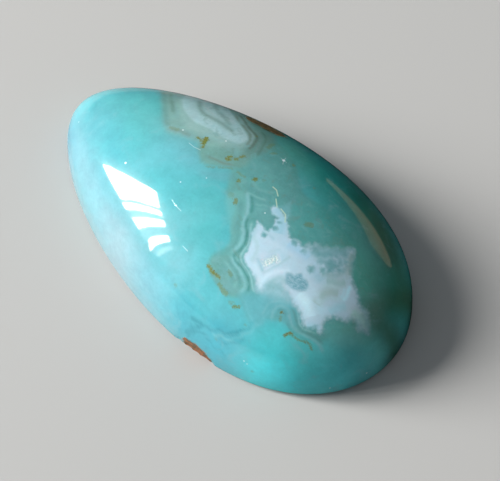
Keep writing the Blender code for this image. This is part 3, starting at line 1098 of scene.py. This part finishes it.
# %% Trace the seam
# the strip and the sliver in pixels
FAR_STRIP = [(252, 119.5), (257, 122.2), (263, 125.2), (271, 129.2), (279, 133.2)]
NEAR_SLIVER = [(188, 342.8), (194.5, 346.8), (200, 352.0), (205.5, 358.2)]
# along the stone and height, in mm
FAR_FLANK = [(-2.6, 4.5), (-1.6, 3.7), (-0.9, 2.7), (-1.2, 1.8), (-0.6, 1.0), (-0.8, 0.4)]
# along the stone, across it and height, in mm
BACK_SEAM = [(-0.8, 6.8, 0.0), (-0.2, 4.9, 0.0), (1.0, 3.6, 0.0), (0.8, 1.5, 0.0),
             (2.0, -0.9, 0.0), (2.4, -3.1, 0.0), (4.1, -5.2, 0.0), (4.6, -8.3, 0.2)]
FAR_STRIP_WIDTH = 0.62 * MM
SLIVER_WIDTH = 0.60 * MM
FLANK_SEAM_WIDTH = 0.50 * MM
BACK_SEAM_WIDTH = 0.60 * MM
SEAM_SWELL = 1.3
SEAM_SWELL_SIZE = 0.9 * MM
THINNEST_SHARE = 0.2
GIRDLE_DROP = 0.45 * MM


def on_far_flank(along, height):
    """The point of the far flank at a place along the stone and a height, both in mm."""
    outside = Vector((along, LENGTH / MM, height)) * MM
    return polished_surface.ray_cast(outside, Vector((0.0, -1.0, 0.0)))[0]


far_strip = on_surface(FAR_STRIP)
back_seam = np.array(BACK_SEAM) * MM
flank_points = [on_far_flank(*point) for point in FAR_FLANK]
far_flank = np.array([far_strip[2], *flank_points, back_seam[0]])
near_sliver = on_surface(NEAR_SLIVER)
below_sliver = near_sliver - np.array((0.0, 0.0, GIRDLE_DROP))
swelling = np.maximum(1 + SEAM_SWELL * noise_at(SEAM_SWELL_SIZE), THINNEST_SHARE)
seam_runs = [
    (far_strip, FAR_STRIP_WIDTH),
    (far_flank, FLANK_SEAM_WIDTH * swelling),
    (near_sliver, SLIVER_WIDTH),
    (below_sliver, SLIVER_WIDTH),
]
seam = np.min([line_distance(wobbled, run)[0] / width for run, width in seam_runs], axis=0)
keep_number("seam", 1 - seam)
pocket = np.zeros(vertex_count)
pocket[list(sunk_share)] = list(sunk_share.values())
keep_number("pocket", pocket)
keep_colour("body_colour", body_paint)
keep_colour("star_colour", star_paint)
print("seam traced, colours kept")

# %% [markdown]
# ## Node helpers
# Each finish below is a small chain of nodes. These helpers add a node, join it up and set
# its plain values, so that the chains read like a recipe.

# %% Helpers for materials
material = bpy.data.materials.new("gem_silica")
material.use_nodes = True
nodes = material.node_tree.nodes
links = material.node_tree.links
shader = nodes["Principled BSDF"]


def plug(socket, value):
    """Joins another node's output to a socket, or sets the socket to a plain value."""
    if isinstance(value, bpy.types.NodeSocket):
        links.new(value, socket)
    elif hasattr(socket.default_value, "__len__") and not hasattr(value, "__len__"):
        socket.default_value = [value] * len(socket.default_value)
    elif hasattr(value, "__len__") and len(socket.default_value) == len(value) + 1:
        socket.default_value = (*value, 1.0)
    else:
        socket.default_value = value


def math_node(operation, first, second=0.0, clamp=False):
    node = nodes.new("ShaderNodeMath")
    node.operation = operation
    node.use_clamp = clamp
    plug(node.inputs[0], first)
    plug(node.inputs[1], second)
    return node.outputs[0]


def vector_node(operation, first, second=(0.0, 0.0, 0.0)):
    node = nodes.new("ShaderNodeVectorMath")
    node.operation = operation
    plug(node.inputs[0], first)
    if operation == "SCALE":
        plug(node.inputs["Scale"], second)
    else:
        plug(node.inputs[1], second)
    return node.outputs["Value" if operation in ("DISTANCE", "LENGTH", "DOT_PRODUCT") else 0]


def step_between(value, low, high):
    """0 below low, 1 above high, and a soft step between. Low may be the larger one."""
    node = nodes.new("ShaderNodeMapRange")
    node.interpolation_type = "SMOOTHSTEP"
    plug(node.inputs["Value"], value)
    plug(node.inputs["From Min"], low)
    plug(node.inputs["From Max"], high)
    return node.outputs["Result"]


def mix_colour(share, below, above, blend="MIX"):
    node = nodes.new("ShaderNodeMix")
    node.data_type = "RGBA"
    node.blend_type = blend
    plug(node.inputs[0], share)
    plug(node.inputs[6], below)
    plug(node.inputs[7], above)
    return node.outputs[2]


def stored(name, output="Fac"):
    node = nodes.new("ShaderNodeAttribute")
    node.attribute_name = name
    return node.outputs[output]


place = nodes.new("ShaderNodeTexCoord").outputs["Object"]


def grain(size, detail=3.0, roughness=0.55, at=None, distortion=0.0):
    """Soft noise from 0 to 1, with clumps of about the given size in metres."""
    node = nodes.new("ShaderNodeTexNoise")
    plug(node.inputs["Vector"], at or place)
    node.inputs["Scale"].default_value = 1 / size
    node.inputs["Detail"].default_value = detail
    node.inputs["Roughness"].default_value = roughness
    node.inputs["Distortion"].default_value = distortion
    return node.outputs["Fac"]


def swing(value, amount):
    """Turns 0 to 1 into minus to plus half the amount."""
    centred = math_node("SUBTRACT", value, 0.5)
    return math_node("MULTIPLY", centred, amount)


def distance_to_line(points):
    """How far the shaded place lies from a line through some points."""
    nearest = FAR_OUTSIDE
    for start, end in zip(points, points[1:]):
        step = Vector(end - start)
        offset = vector_node("SUBTRACT", place, tuple(start))
        along = vector_node("DOT_PRODUCT", offset, tuple(step / step.length_squared))
        along = math_node("MULTIPLY", along, 1.0, clamp=True)
        distance = vector_node("DISTANCE", offset, vector_node("SCALE", tuple(step), along))
        nearest = math_node("MINIMUM", nearest, distance)
    return nearest


print("material ready:", material.name)

# %% [markdown]
# ## Body colour
# The painted colour is clouded by noise at three sizes, from broad drifts to the fine curdled
# grain of chalcedony, so that it is nowhere flat.

# %% Cloud the painted body
DRIFT_SIZE = 2.4 * MM
CURD_SIZE = 0.75 * MM
FINE_SIZE = 0.17 * MM
DRIFT_SWING = 0.28
CURD_SWING = 0.30
FINE_SWING = 0.14
MILK_BLUE = (0.200, 0.420, 0.470)
MILK_SIZE = 1.5 * MM
MILK_FROM_TO = (0.52, 0.80)
MILK_SHARE = 0.45

drift = grain(DRIFT_SIZE)
curds = grain(CURD_SIZE, detail=4.0, roughness=0.6, distortion=0.5)
fine = grain(FINE_SIZE, detail=2.0)


def toned(colour, *swings):
    """A colour made lighter and darker by some noises, each with its own amount."""
    tone = 1.0
    for cloud, amount in swings:
        tone = math_node("ADD", tone, swing(cloud, amount))
    return mix_colour(1.0, colour, tone, "MULTIPLY")


painted_body = stored("body_colour", "Color")
body = toned(painted_body, (drift, DRIFT_SWING), (curds, CURD_SWING), (fine, FINE_SWING))
milk = grain(MILK_SIZE, detail=5.0, roughness=0.6, distortion=0.8)
milk_cover = math_node("MULTIPLY", step_between(milk, *MILK_FROM_TO), MILK_SHARE)
surface = mix_colour(milk_cover, body, MILK_BLUE)
print("body clouded:", len(nodes), "nodes so far")

# %% [markdown]
# ## Mottles in the veil
# The grey-green veil isn't even either. Small olive and pale mottles, the two sides of one
# noise, lie in it and stop at its edge.

# %% Mottle the veil
VEIL_OLIVE = (0.150, 0.280, 0.235)
VEIL_PALE = (0.200, 0.450, 0.465)
OLIVE_FROM_TO = (0.50, 0.75)
PALE_FROM_TO = (0.48, 0.28)
OLIVE_SHARE = 0.45
PALE_SHARE = 0.35
MOTTLE_SIZE = 0.60 * MM
VEIL_EDGE = 0.6 * MM

mottles = grain(MOTTLE_SIZE, detail=4.0, roughness=0.6, distortion=0.6)
inside_veil = step_between(stored("veil"), 0.0, VEIL_EDGE)
olive_cover = math_node("MULTIPLY", step_between(mottles, *OLIVE_FROM_TO), OLIVE_SHARE)
pale_cover = math_node("MULTIPLY", step_between(mottles, *PALE_FROM_TO), PALE_SHARE)
surface = mix_colour(math_node("MULTIPLY", inside_veil, olive_cover), surface, VEIL_OLIVE)
surface = mix_colour(math_node("MULTIPLY", inside_veil, pale_cover), surface, VEIL_PALE)
print("veil mottled:", len(nodes), "nodes so far")

# %% [markdown]
# ## The star's edge
# Round cells and noise shift the star's edge, a little on the crisp side and more on the
# feathered side. The mask is then soft or crisp in the same way.

# %% Cut the star's edge
LOBE_SIZE = 0.27 * MM
LOBE_ROUNDNESS = 0.3
LOBE_MIDDLE = 0.42
LOBE_SHARE = 0.8
EDGE_NOISE_SIZE = 0.20 * MM
CRISP_SHIFT = 0.17 * MM
FEATHERED_SHIFT = 0.28 * MM
CRISP_EDGE = 0.17 * MM
FEATHERED_EDGE = 0.32 * MM
SOFTEST_EDGE = 0.9 * MM
STAR_CURD_SWING = 0.16
STAR_FINE_SWING = 0.10


def between_sides(crisp, feathered):
    """A value that changes from the crisp side to the feathered side."""
    change = math_node("MULTIPLY", stored("feather"), feathered - crisp)
    return math_node("ADD", change, crisp)


cells = nodes.new("ShaderNodeTexVoronoi")
cells.feature = "SMOOTH_F1"
cells.inputs["Scale"].default_value = 1 / LOBE_SIZE
cells.inputs["Smoothness"].default_value = LOBE_ROUNDNESS
links.new(place, cells.inputs["Vector"])
lobes = math_node("SUBTRACT", LOBE_MIDDLE, cells.outputs["Distance"])
edge_noise = swing(grain(EDGE_NOISE_SIZE, roughness=0.6), 1.0)
edge_shape = math_node("ADD", math_node("MULTIPLY", lobes, LOBE_SHARE), edge_noise)
shift = math_node("MULTIPLY", edge_shape, between_sides(CRISP_SHIFT, FEATHERED_SHIFT))
star_depth = math_node("ADD", stored("star"), shift)
edge_width = between_sides(CRISP_EDGE, FEATHERED_EDGE)
extra_width = math_node("MULTIPLY", stored("soft_edge"), SOFTEST_EDGE)
edge_width = math_node("ADD", edge_width, extra_width)
star_start = math_node("MULTIPLY", edge_width, -0.5)
star_mask = step_between(star_depth, star_start, edge_width)
painted_star = stored("star_colour", "Color")
star_colour = toned(painted_star, (curds, STAR_CURD_SWING), (fine, STAR_FINE_SWING))
surface = mix_colour(star_mask, surface, star_colour)
print("star's edge cut")

# %% [markdown]
# ## The speckled window
# The largest window in the star is filled with fine, slanting blue-grey threads.

# %% Speckle the window
WINDOW_BLUE = (0.150, 0.385, 0.460)
WINDOW_COVER = 0.46
THREAD_COVER = 0.42
THREAD_FROM_TO = (0.64, 0.40)
THREAD_SIZE = 0.11 * MM
THREAD_LENGTH = 2.2
THREAD_SLANT = 20
WINDOW_FRAY = 0.30 * MM
WINDOW_EDGE = (-0.14 * MM, 0.16 * MM)

slanted = nodes.new("ShaderNodeMapping")
slanted.vector_type = "TEXTURE"
slanted.inputs["Rotation"].default_value = (0.0, 0.0, math.radians(THREAD_SLANT))
slanted.inputs["Scale"].default_value = (THREAD_LENGTH, 1.0, 1.0)
links.new(place, slanted.inputs["Vector"])
threads = grain(THREAD_SIZE, at=slanted.outputs[0], distortion=0.8)
window_depth = math_node("ADD", stored("speckled_window"), swing(threads, WINDOW_FRAY))
window = step_between(window_depth, *WINDOW_EDGE)
thread_cover = math_node("MULTIPLY", step_between(threads, *THREAD_FROM_TO), THREAD_COVER)
window = math_node("MULTIPLY", window, math_node("ADD", WINDOW_COVER, thread_cover))
surface = mix_colour(window, surface, WINDOW_BLUE)
print("window speckled")

# %% [markdown]
# ## Specks
# The specks are olive, some with a rusty heart. Fine noise breaks up their rims.

# %% Colour the specks
SPECK_OLIVE = (0.185, 0.225, 0.050)
SPECK_RUST = (0.150, 0.125, 0.035)
SPECK_RUST_FROM_TO = (0.52, 0.68)
SPECK_NOISE_SIZE = 0.11 * MM
SPECK_FRAY = 0.46 * MM
SPECK_EDGE = (-0.06 * MM, 0.08 * MM)

speck_noise = grain(SPECK_NOISE_SIZE, roughness=0.7)
speck_depth = math_node("ADD", stored("speck"), swing(speck_noise, SPECK_FRAY))
speck_cover = step_between(speck_depth, *SPECK_EDGE)
speck_cover = math_node("MULTIPLY", speck_cover, stored("speck_strength"))
rusty = step_between(speck_noise, *SPECK_RUST_FROM_TO)
speck_colour = mix_colour(rusty, SPECK_OLIVE, SPECK_RUST)
surface = mix_colour(speck_cover, surface, speck_colour)
print("specks coloured")

# %% [markdown]
# ## Hairlines, lint, pits and painted glints
# A few hairline scratches and threads of lint show as white and cream marks. The tiny pits
# are white dots, partly dust and partly painted glints, and two crossed strokes over one of
# them make a painted star-shaped sparkle.

# %% Draw the fine marks
MARK_AND_GLINT_WHITE = (0.72, 0.84, 0.88)
LINT_CREAM = (0.55, 0.72, 0.56)
HAIRLINES_AND_SPARKLE = [
    # the first two cross as a painted star-shaped sparkle
    [(281.2, 158.6), (283.7, 160.5), (286.6, 162.6)],
    [(285.8, 158.0), (283.7, 160.5), (282.8, 164.2)],
    [(172, 200), (175, 205), (181, 211)],
    [(189, 143), (194, 147), (200.5, 150)],
    [(182.8, 246), (187.5, 251)],
]
LINT = [
    [(273, 187), (276.5, 190), (278, 196)],
    [(276, 199), (277, 207)],
    [(281, 209), (285.5, 214.5), (285, 222)],
]
PITS_AND_GLINTS = [
    # middle in pixels, radius in pixels, strength
    (125.5, 163, 1.3, 1.0), (183, 130, 1.0, 0.9), (226, 141, 1.0, 0.9), (180.5, 182, 0.9, 0.8),
    (206.5, 178, 0.8, 0.6), (283.7, 160.5, 1.9, 1.0), (265, 213, 1.0, 0.7),
    (78.7, 122, 1.0, 0.5), (244, 361, 1.1, 0.6), (247, 364, 0.9, 0.5), (366.7, 373, 1.0, 0.8),
    (330, 388, 1.2, 0.6),
]
HAIR_WIDTH = 0.38
HAIR_STRENGTH = 0.38
LINT_WIDTH = 0.65
LINT_STRENGTH = 0.75
# where a mark's soft edge ends and starts, as shares of its width or radius
STROKE_EDGE = (1.5, 0.4)
PIT_EDGE = (1.2, 0.4)


def soft_mark(distance, pixels, edge):
    """1 near the middle of a mark some pixels wide, 0 beside it."""
    end, start = [share * pixels * PIXEL for share in edge]
    return step_between(distance, end, start)


def strokes(lines, width):
    """1 on some fine lines, 0 beside them."""
    cover = 0.0
    for line in lines:
        distance = distance_to_line([on_stone(pixel) for pixel in line])
        cover = math_node("MAXIMUM", cover, soft_mark(distance, width, STROKE_EDGE))
    return cover


# white hairlines, two of them a painted sparkle
hairline_and_sparkle_cover = strokes(HAIRLINES_AND_SPARKLE, HAIR_WIDTH)
surface = mix_colour(math_node("MULTIPLY", hairline_and_sparkle_cover, HAIR_STRENGTH), surface, MARK_AND_GLINT_WHITE)
lint_cover = strokes(LINT, LINT_WIDTH)
surface = mix_colour(math_node("MULTIPLY", lint_cover, LINT_STRENGTH), surface, LINT_CREAM)
# white pits: dust and painted glints
pit_and_glint_cover = 0.0
for x, y, radius, strength in PITS_AND_GLINTS:
    distance = vector_node("DISTANCE", place, tuple(on_stone((x, y))))
    mark = math_node("MULTIPLY", soft_mark(distance, radius, PIT_EDGE), strength)
    pit_and_glint_cover = math_node("MAXIMUM", pit_and_glint_cover, mark)
surface = mix_colour(pit_and_glint_cover, surface, MARK_AND_GLINT_WHITE)
print("fine marks drawn:", len(nodes), "nodes")

# %% [markdown]
# ## Matrix
# The brown seam and the chip are iron-stained rock, rough and dull: rusty on the near side,
# ochre on the far side. On the back the seam is drawn in the material, because the flat back
# has few vertices to carry paint.

# %% Paint the seam and the chip
MATRIX_RUST = (0.270, 0.090, 0.022)
MATRIX_OCHRE = (0.165, 0.105, 0.028)
MATRIX_OLIVE = (0.060, 0.052, 0.020)
OCHRE_FROM_TO = (0.0, 3.0 * MM)
RUST_SIZE = 0.35 * MM
RUST_FROM_TO = (0.38, 0.58)
NEAR_THE_BACK = (0.30 * MM, 0.10 * MM)
OFF_THE_BACK = 10.0
BACK_SEAM_FRAY = 2.0
SEAM_FRAY = 1.3
SEAM_EDGE = (-0.05, 0.30)

axes = nodes.new("ShaderNodeSeparateXYZ")
links.new(place, axes.inputs[0])
rust_grain = grain(RUST_SIZE, detail=5.0, roughness=0.65)
on_far_side = step_between(axes.outputs["Y"], *OCHRE_FROM_TO)
rust = mix_colour(on_far_side, MATRIX_RUST, MATRIX_OCHRE)
matrix_colour = mix_colour(step_between(rust_grain, *RUST_FROM_TO), MATRIX_OLIVE, rust)
back_share = math_node("DIVIDE", distance_to_line(back_seam), BACK_SEAM_WIDTH)
back_depth = math_node("SUBTRACT", 1.0, back_share)
off_back = math_node("SUBTRACT", 1.0, step_between(axes.outputs["Z"], *NEAR_THE_BACK))
back_depth = math_node("SUBTRACT", back_depth, math_node("MULTIPLY", off_back, OFF_THE_BACK))
back_depth = math_node("ADD", back_depth, swing(drift, BACK_SEAM_FRAY))
seam_depth = math_node("MAXIMUM", stored("seam"), back_depth)
seam_depth = math_node("ADD", seam_depth, swing(rust_grain, SEAM_FRAY))
matrix = step_between(seam_depth, *SEAM_EDGE)
surface = mix_colour(matrix, surface, matrix_colour)
print("matrix painted")

# %% [markdown]
# ## Crystals
# The pocket's crystals are clear quartz that looks white, because their many small faces
# scatter light.

# %% Paint the pocket
CRYSTAL_WHITE = (0.76, 0.82, 0.77)
POCKET_SHADE = (0.420, 0.580, 0.600)
CRYSTAL_GRAIN_SIZE = 0.10 * MM
CRYSTAL_FROM_TO = (0.35, 0.65)
POCKET_FRAY = 1.2
POCKET_EDGE = (0.2, 1.4)
POCKET_COVER = 0.8

crystal_grain = grain(CRYSTAL_GRAIN_SIZE)
pocket_depth = math_node("ADD", stored("pocket"), swing(crystal_grain, POCKET_FRAY))
pocket_cover = step_between(pocket_depth, *POCKET_EDGE)
glinting = step_between(crystal_grain, *CRYSTAL_FROM_TO)
pocket_colour = mix_colour(glinting, POCKET_SHADE, CRYSTAL_WHITE)
surface = mix_colour(math_node("MULTIPLY", pocket_cover, POCKET_COVER), surface, pocket_colour)
links.new(surface, shader.inputs["Base Color"])
print("crystals painted")

# %% [markdown]
# ## The polish
# Chalcedony takes a wet-looking polish with a faint haze around bright reflections. The
# break, the pocket and the ground back don't have it. Light enters the stone, wanders and
# comes out nearby, which is subsurface scattering. The brown matrix is opaque and has none.

# %% Set gloss and glow
POLISH_ROUGHNESS = 0.045
BREAK_ROUGHNESS = 0.65
BACK_ROUGHNESS = 0.42
CRYSTAL_ROUGHNESS = 0.45
HAZE_WEIGHT = 0.30
HAZE_ROUGHNESS = 0.20
STONE_INDEX = 1.54
GLOW_DEPTH = 2.5 * MM
GLOW_COLOUR = (0.5, 1.0, 1.0)
POLISH_SWING = 0.02
AT_THE_BACK = (0.06 * MM, 0.02 * MM)
ground_back = step_between(axes.outputs["Z"], *AT_THE_BACK)


def blend_value(share, below, above):
    """Changes from below to above as the share goes from 0 to 1."""
    gap = math_node("SUBTRACT", above, below)
    return math_node("ADD", below, math_node("MULTIPLY", gap, share))


gloss = math_node("ADD", POLISH_ROUGHNESS, swing(drift, POLISH_SWING))
gloss = blend_value(ground_back, gloss, BACK_ROUGHNESS)
gloss = blend_value(pocket_cover, gloss, CRYSTAL_ROUGHNESS)
gloss = blend_value(matrix, gloss, BREAK_ROUGHNESS)
links.new(gloss, shader.inputs["Roughness"])
shader.inputs["IOR"].default_value = STONE_INDEX
shader.inputs["Coat Weight"].default_value = HAZE_WEIGHT
shader.inputs["Coat Roughness"].default_value = HAZE_ROUGHNESS
links.new(math_node("SUBTRACT", 1.0, matrix), shader.inputs["Subsurface Weight"])
shader.inputs["Subsurface Radius"].default_value = GLOW_COLOUR
shader.inputs["Subsurface Scale"].default_value = GLOW_DEPTH
print("polish set")

# %% [markdown]
# ## Fine relief
# The pits and the scratches are hollows in the polish, and the ground back and the broken
# matrix are rough. All are far finer than the mesh, so they are a bump.

# %% Press in the fine relief
LAPPING_SIZE = 0.05 * MM
LAPPING_SHARE = 0.6
RELIEF_DEPTH = 0.02 * MM
RELIEF_STRENGTH = 0.35

lapping = grain(LAPPING_SIZE, detail=2.0)
roughened = math_node("MULTIPLY", math_node("MAXIMUM", ground_back, matrix), lapping)
pitted = math_node("MULTIPLY", math_node("MAXIMUM", pit_and_glint_cover, hairline_and_sparkle_cover), -1.0)
relief = math_node("ADD", math_node("MULTIPLY", roughened, LAPPING_SHARE), pitted)
bump = nodes.new("ShaderNodeBump")
bump.inputs["Strength"].default_value = RELIEF_STRENGTH
bump.inputs["Distance"].default_value = RELIEF_DEPTH
links.new(relief, bump.inputs["Height"])
links.new(bump.outputs["Normal"], shader.inputs["Normal"])
stone.data.materials.clear()
stone.data.materials.append(material)
print("relief pressed in:", len(nodes), "nodes in all")

# %% [markdown]
# ## Floor
# The stone lies on a plain pale floor. In the photograph the polish mirrors something bright
# low on the window's side and next to nothing on the other, so the floor isn't mirrored.

# %% Lay the floor
FLOOR_COLOUR = (0.45, 0.445, 0.435, 1.0)
FLOOR_ROUGHNESS = 0.8
FLOOR_SPECULAR = 0.2
FLOOR_REACH = 0.8
DISC_SIDES = 96
view_right = Vector((math.cos(VIEW_AZIMUTH), math.sin(VIEW_AZIMUTH), 0.0))
view_away = Vector((-math.sin(VIEW_AZIMUTH), math.cos(VIEW_AZIMUTH), 0.0))
up = Vector((0.0, 0.0, 1.0))

floor_material = bpy.data.materials.new("pale_floor")
floor_material.use_nodes = True
floor_shader = floor_material.node_tree.nodes["Principled BSDF"]
floor_shader.inputs["Base Color"].default_value = FLOOR_COLOUR
floor_shader.inputs["Roughness"].default_value = FLOOR_ROUGHNESS
floor_shader.inputs["Specular IOR Level"].default_value = FLOOR_SPECULAR

deselect_everything()
bpy.ops.mesh.primitive_circle_add(vertices=DISC_SIDES, radius=FLOOR_REACH, fill_type="NGON")
floor = bpy.context.object
floor.name = "floor"
floor.data.materials.append(floor_material)
floor.visible_glossy = False
print("floor laid")

# %% [markdown]
# ## The mirrored glow
# What the polish mirrors low on the window's side is a glowing sheet just under the floor. Only
# reflections see it, and it fades out towards its rim, so that the mirrored edge is soft.

# %% Slip the mirrored glow under the floor
# to the view's right and away from the camera
MIRRORED_MIDDLE = (-56 * MM, -10 * MM)
MIRRORED_RADIUS = 65 * MM
MIRRORED_FULL_RADIUS = 47 * MM
MIRRORED_BRIGHTNESS = 0.62
UNDER_THE_FLOOR = 0.02 * MM

glow_material = bpy.data.materials.new("mirrored_floor")
glow_material.use_nodes = True
nodes = glow_material.node_tree.nodes
links = glow_material.node_tree.links
nodes.remove(nodes["Principled BSDF"])
glow = nodes.new("ShaderNodeEmission")
from_middle = vector_node("LENGTH", nodes.new("ShaderNodeTexCoord").outputs["Object"])
glow_share = step_between(from_middle, MIRRORED_RADIUS, MIRRORED_FULL_RADIUS)
links.new(math_node("MULTIPLY", glow_share, MIRRORED_BRIGHTNESS), glow.inputs["Strength"])
links.new(glow.outputs[0], nodes["Material Output"].inputs["Surface"])

middle = view_right * MIRRORED_MIDDLE[0] + view_away * MIRRORED_MIDDLE[1]
deselect_everything()
bpy.ops.mesh.primitive_circle_add(vertices=DISC_SIDES, radius=MIRRORED_RADIUS,
                                  fill_type="NGON", location=middle - up * UNDER_THE_FLOOR)
glow_sheet = bpy.context.object
glow_sheet.name = "mirrored_floor"
glow_sheet.data.materials.append(glow_material)
glow_sheet.visible_camera = False
glow_sheet.visible_diffuse = False
glow_sheet.visible_transmission = False
glow_sheet.visible_shadow = False
print("mirrored glow laid")

# %% [markdown]
# ## The window
# The reflection in the polish shows a window with one wide pane and several narrow ones. A
# glowing sheet for each pane gives the same reflection, and the daylight too. The corners are
# given as seen from the stone: how far away from the camera, and how high, for each unit of
# distance to the left.

# %% Hang the window panes
WINDOW_DISTANCE = 0.5
WINDOW_BRIGHTNESS = 46.0
FAINT_PANE_BRIGHTNESS = 4.5
WINDOW_PANES = [
    ((0.298, 0.232), (0.334, 1.104), (0.141, 0.964), (0.074, 0.269)),
    ((0.050, 0.248), (0.108, 0.953), (0.058, 0.915), (0.013, 0.250)),
    ((-0.038, 0.263), (0.015, 0.903), (-0.042, 0.832), (-0.095, 0.264)),
    ((-0.155, 0.330), (-0.117, 0.784), (-0.163, 0.730), (-0.215, 0.185)),
]
FAINT_PANE = ((-0.240, 0.250), (-0.205, 0.680), (-0.232, 0.650), (-0.268, 0.255))


def glowing(name, colour, brightness):
    """A material that only gives off light."""
    material = bpy.data.materials.new(name)
    material.use_nodes = True
    tree = material.node_tree
    tree.nodes.remove(tree.nodes["Principled BSDF"])
    emission = tree.nodes.new("ShaderNodeEmission")
    emission.inputs["Color"].default_value = (*colour, 1.0)
    emission.inputs["Strength"].default_value = brightness
    tree.links.new(emission.outputs[0], tree.nodes["Material Output"].inputs["Surface"])
    return material


def hang_sheet(name, corners, material):
    """A flat glowing sheet that the camera itself doesn't see."""
    mesh = bpy.data.meshes.new(name)
    mesh.from_pydata([tuple(corner) for corner in corners], [], [range(len(corners))])
    mesh.materials.append(material)
    sheet = bpy.data.objects.new(name, mesh)
    bpy.context.scene.collection.objects.link(sheet)
    sheet.visible_camera = False


def at_the_window(corners):
    """Places on the window's plane for corners as they are seen from the stone."""
    return [
        (view_away * across + up * height - view_right) * WINDOW_DISTANCE
        for across, height in corners
    ]


DAYLIGHT = (1.0, 0.99, 0.97)
daylight = glowing("daylight", DAYLIGHT, WINDOW_BRIGHTNESS)
for number, corners in enumerate(WINDOW_PANES, start=1):
    hang_sheet(f"pane_{number}", at_the_window(corners), daylight)
faint_daylight = glowing("faint_daylight", DAYLIGHT, FAINT_PANE_BRIGHTNESS)
hang_sheet("faint_pane", at_the_window(FAINT_PANE), faint_daylight)
print("panes hung:", len(WINDOW_PANES) + 1)

# %% [markdown]
# ## The warm wall
# A warm wall low on the right is mirrored as a dim olive stripe. It is one more sheet, with a
# corner wherever the stripe's outline bends.

# %% Hang the warm wall
# turn from the view's right and rise, in degrees
WARM_WALL = ((61, 2), (60, 7), (34, 20), (25, 9), (26, 1))
WARM_LIGHT = (1.0, 0.68, 0.40)
WARM_BRIGHTNESS = 0.62


def direction_at(azimuth, elevation):
    """A unit vector by its turn from the view's right and its rise, both in degrees."""
    turn = math.radians(azimuth)
    rise = math.radians(elevation)
    level = view_right * math.cos(turn) + view_away * math.sin(turn)
    return level * math.cos(rise) + up * math.sin(rise)


warm_corners = [direction_at(*corner) * WINDOW_DISTANCE for corner in WARM_WALL]
hang_sheet("warm_wall", warm_corners, glowing("warm_wall", WARM_LIGHT, WARM_BRIGHTNESS))
print("warm wall hung")

# %% [markdown]
# ## The room
# The rest of the room is brightest overhead and on the window's side, and dark behind and near
# the floor. A few world nodes make that fall-off from the direction alone.

# %% Light the room
OVERHEAD_LIGHT = 0.25
OVERHEAD_FROM_TO = (0.02, 0.55)
WINDOW_SIDE_LIGHT = 0.13
WINDOW_SIDE_FROM_TO = (0.15, 0.95)
FLOOR_FROM_TO = (-0.12, 0.0)
# turn from the view's right and rise, in degrees
TO_WINDOW = (180, 8)
ROOM_COLOUR = (0.85, 0.93, 1.0, 1.0)

world = bpy.data.worlds.new("room")
world.use_nodes = True
nodes = world.node_tree.nodes
links = world.node_tree.links
facing = nodes.new("ShaderNodeTexCoord").outputs["Generated"]
rise = vector_node("DOT_PRODUCT", facing, tuple(up))
leftness = vector_node("DOT_PRODUCT", facing, tuple(direction_at(*TO_WINDOW)))
overhead = math_node("MULTIPLY", step_between(rise, *OVERHEAD_FROM_TO), OVERHEAD_LIGHT)
window_side = step_between(leftness, *WINDOW_SIDE_FROM_TO)
window_side = math_node("MULTIPLY", window_side, WINDOW_SIDE_LIGHT)
above_floor = step_between(rise, *FLOOR_FROM_TO)
room_light = math_node("ADD", overhead, math_node("MULTIPLY", window_side, above_floor))
background = nodes["Background"]
background.inputs["Color"].default_value = ROOM_COLOUR
links.new(room_light, background.inputs["Strength"])
bpy.context.scene.world = world
bpy.context.scene.view_settings.view_transform = "Standard"
print("room lit")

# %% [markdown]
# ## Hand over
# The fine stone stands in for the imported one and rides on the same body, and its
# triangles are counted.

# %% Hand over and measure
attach(stone, "root")
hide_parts(STONE_NODE)
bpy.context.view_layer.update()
stone.data.calc_loop_triangles()
print("triangles:", len(stone.data.loop_triangles))
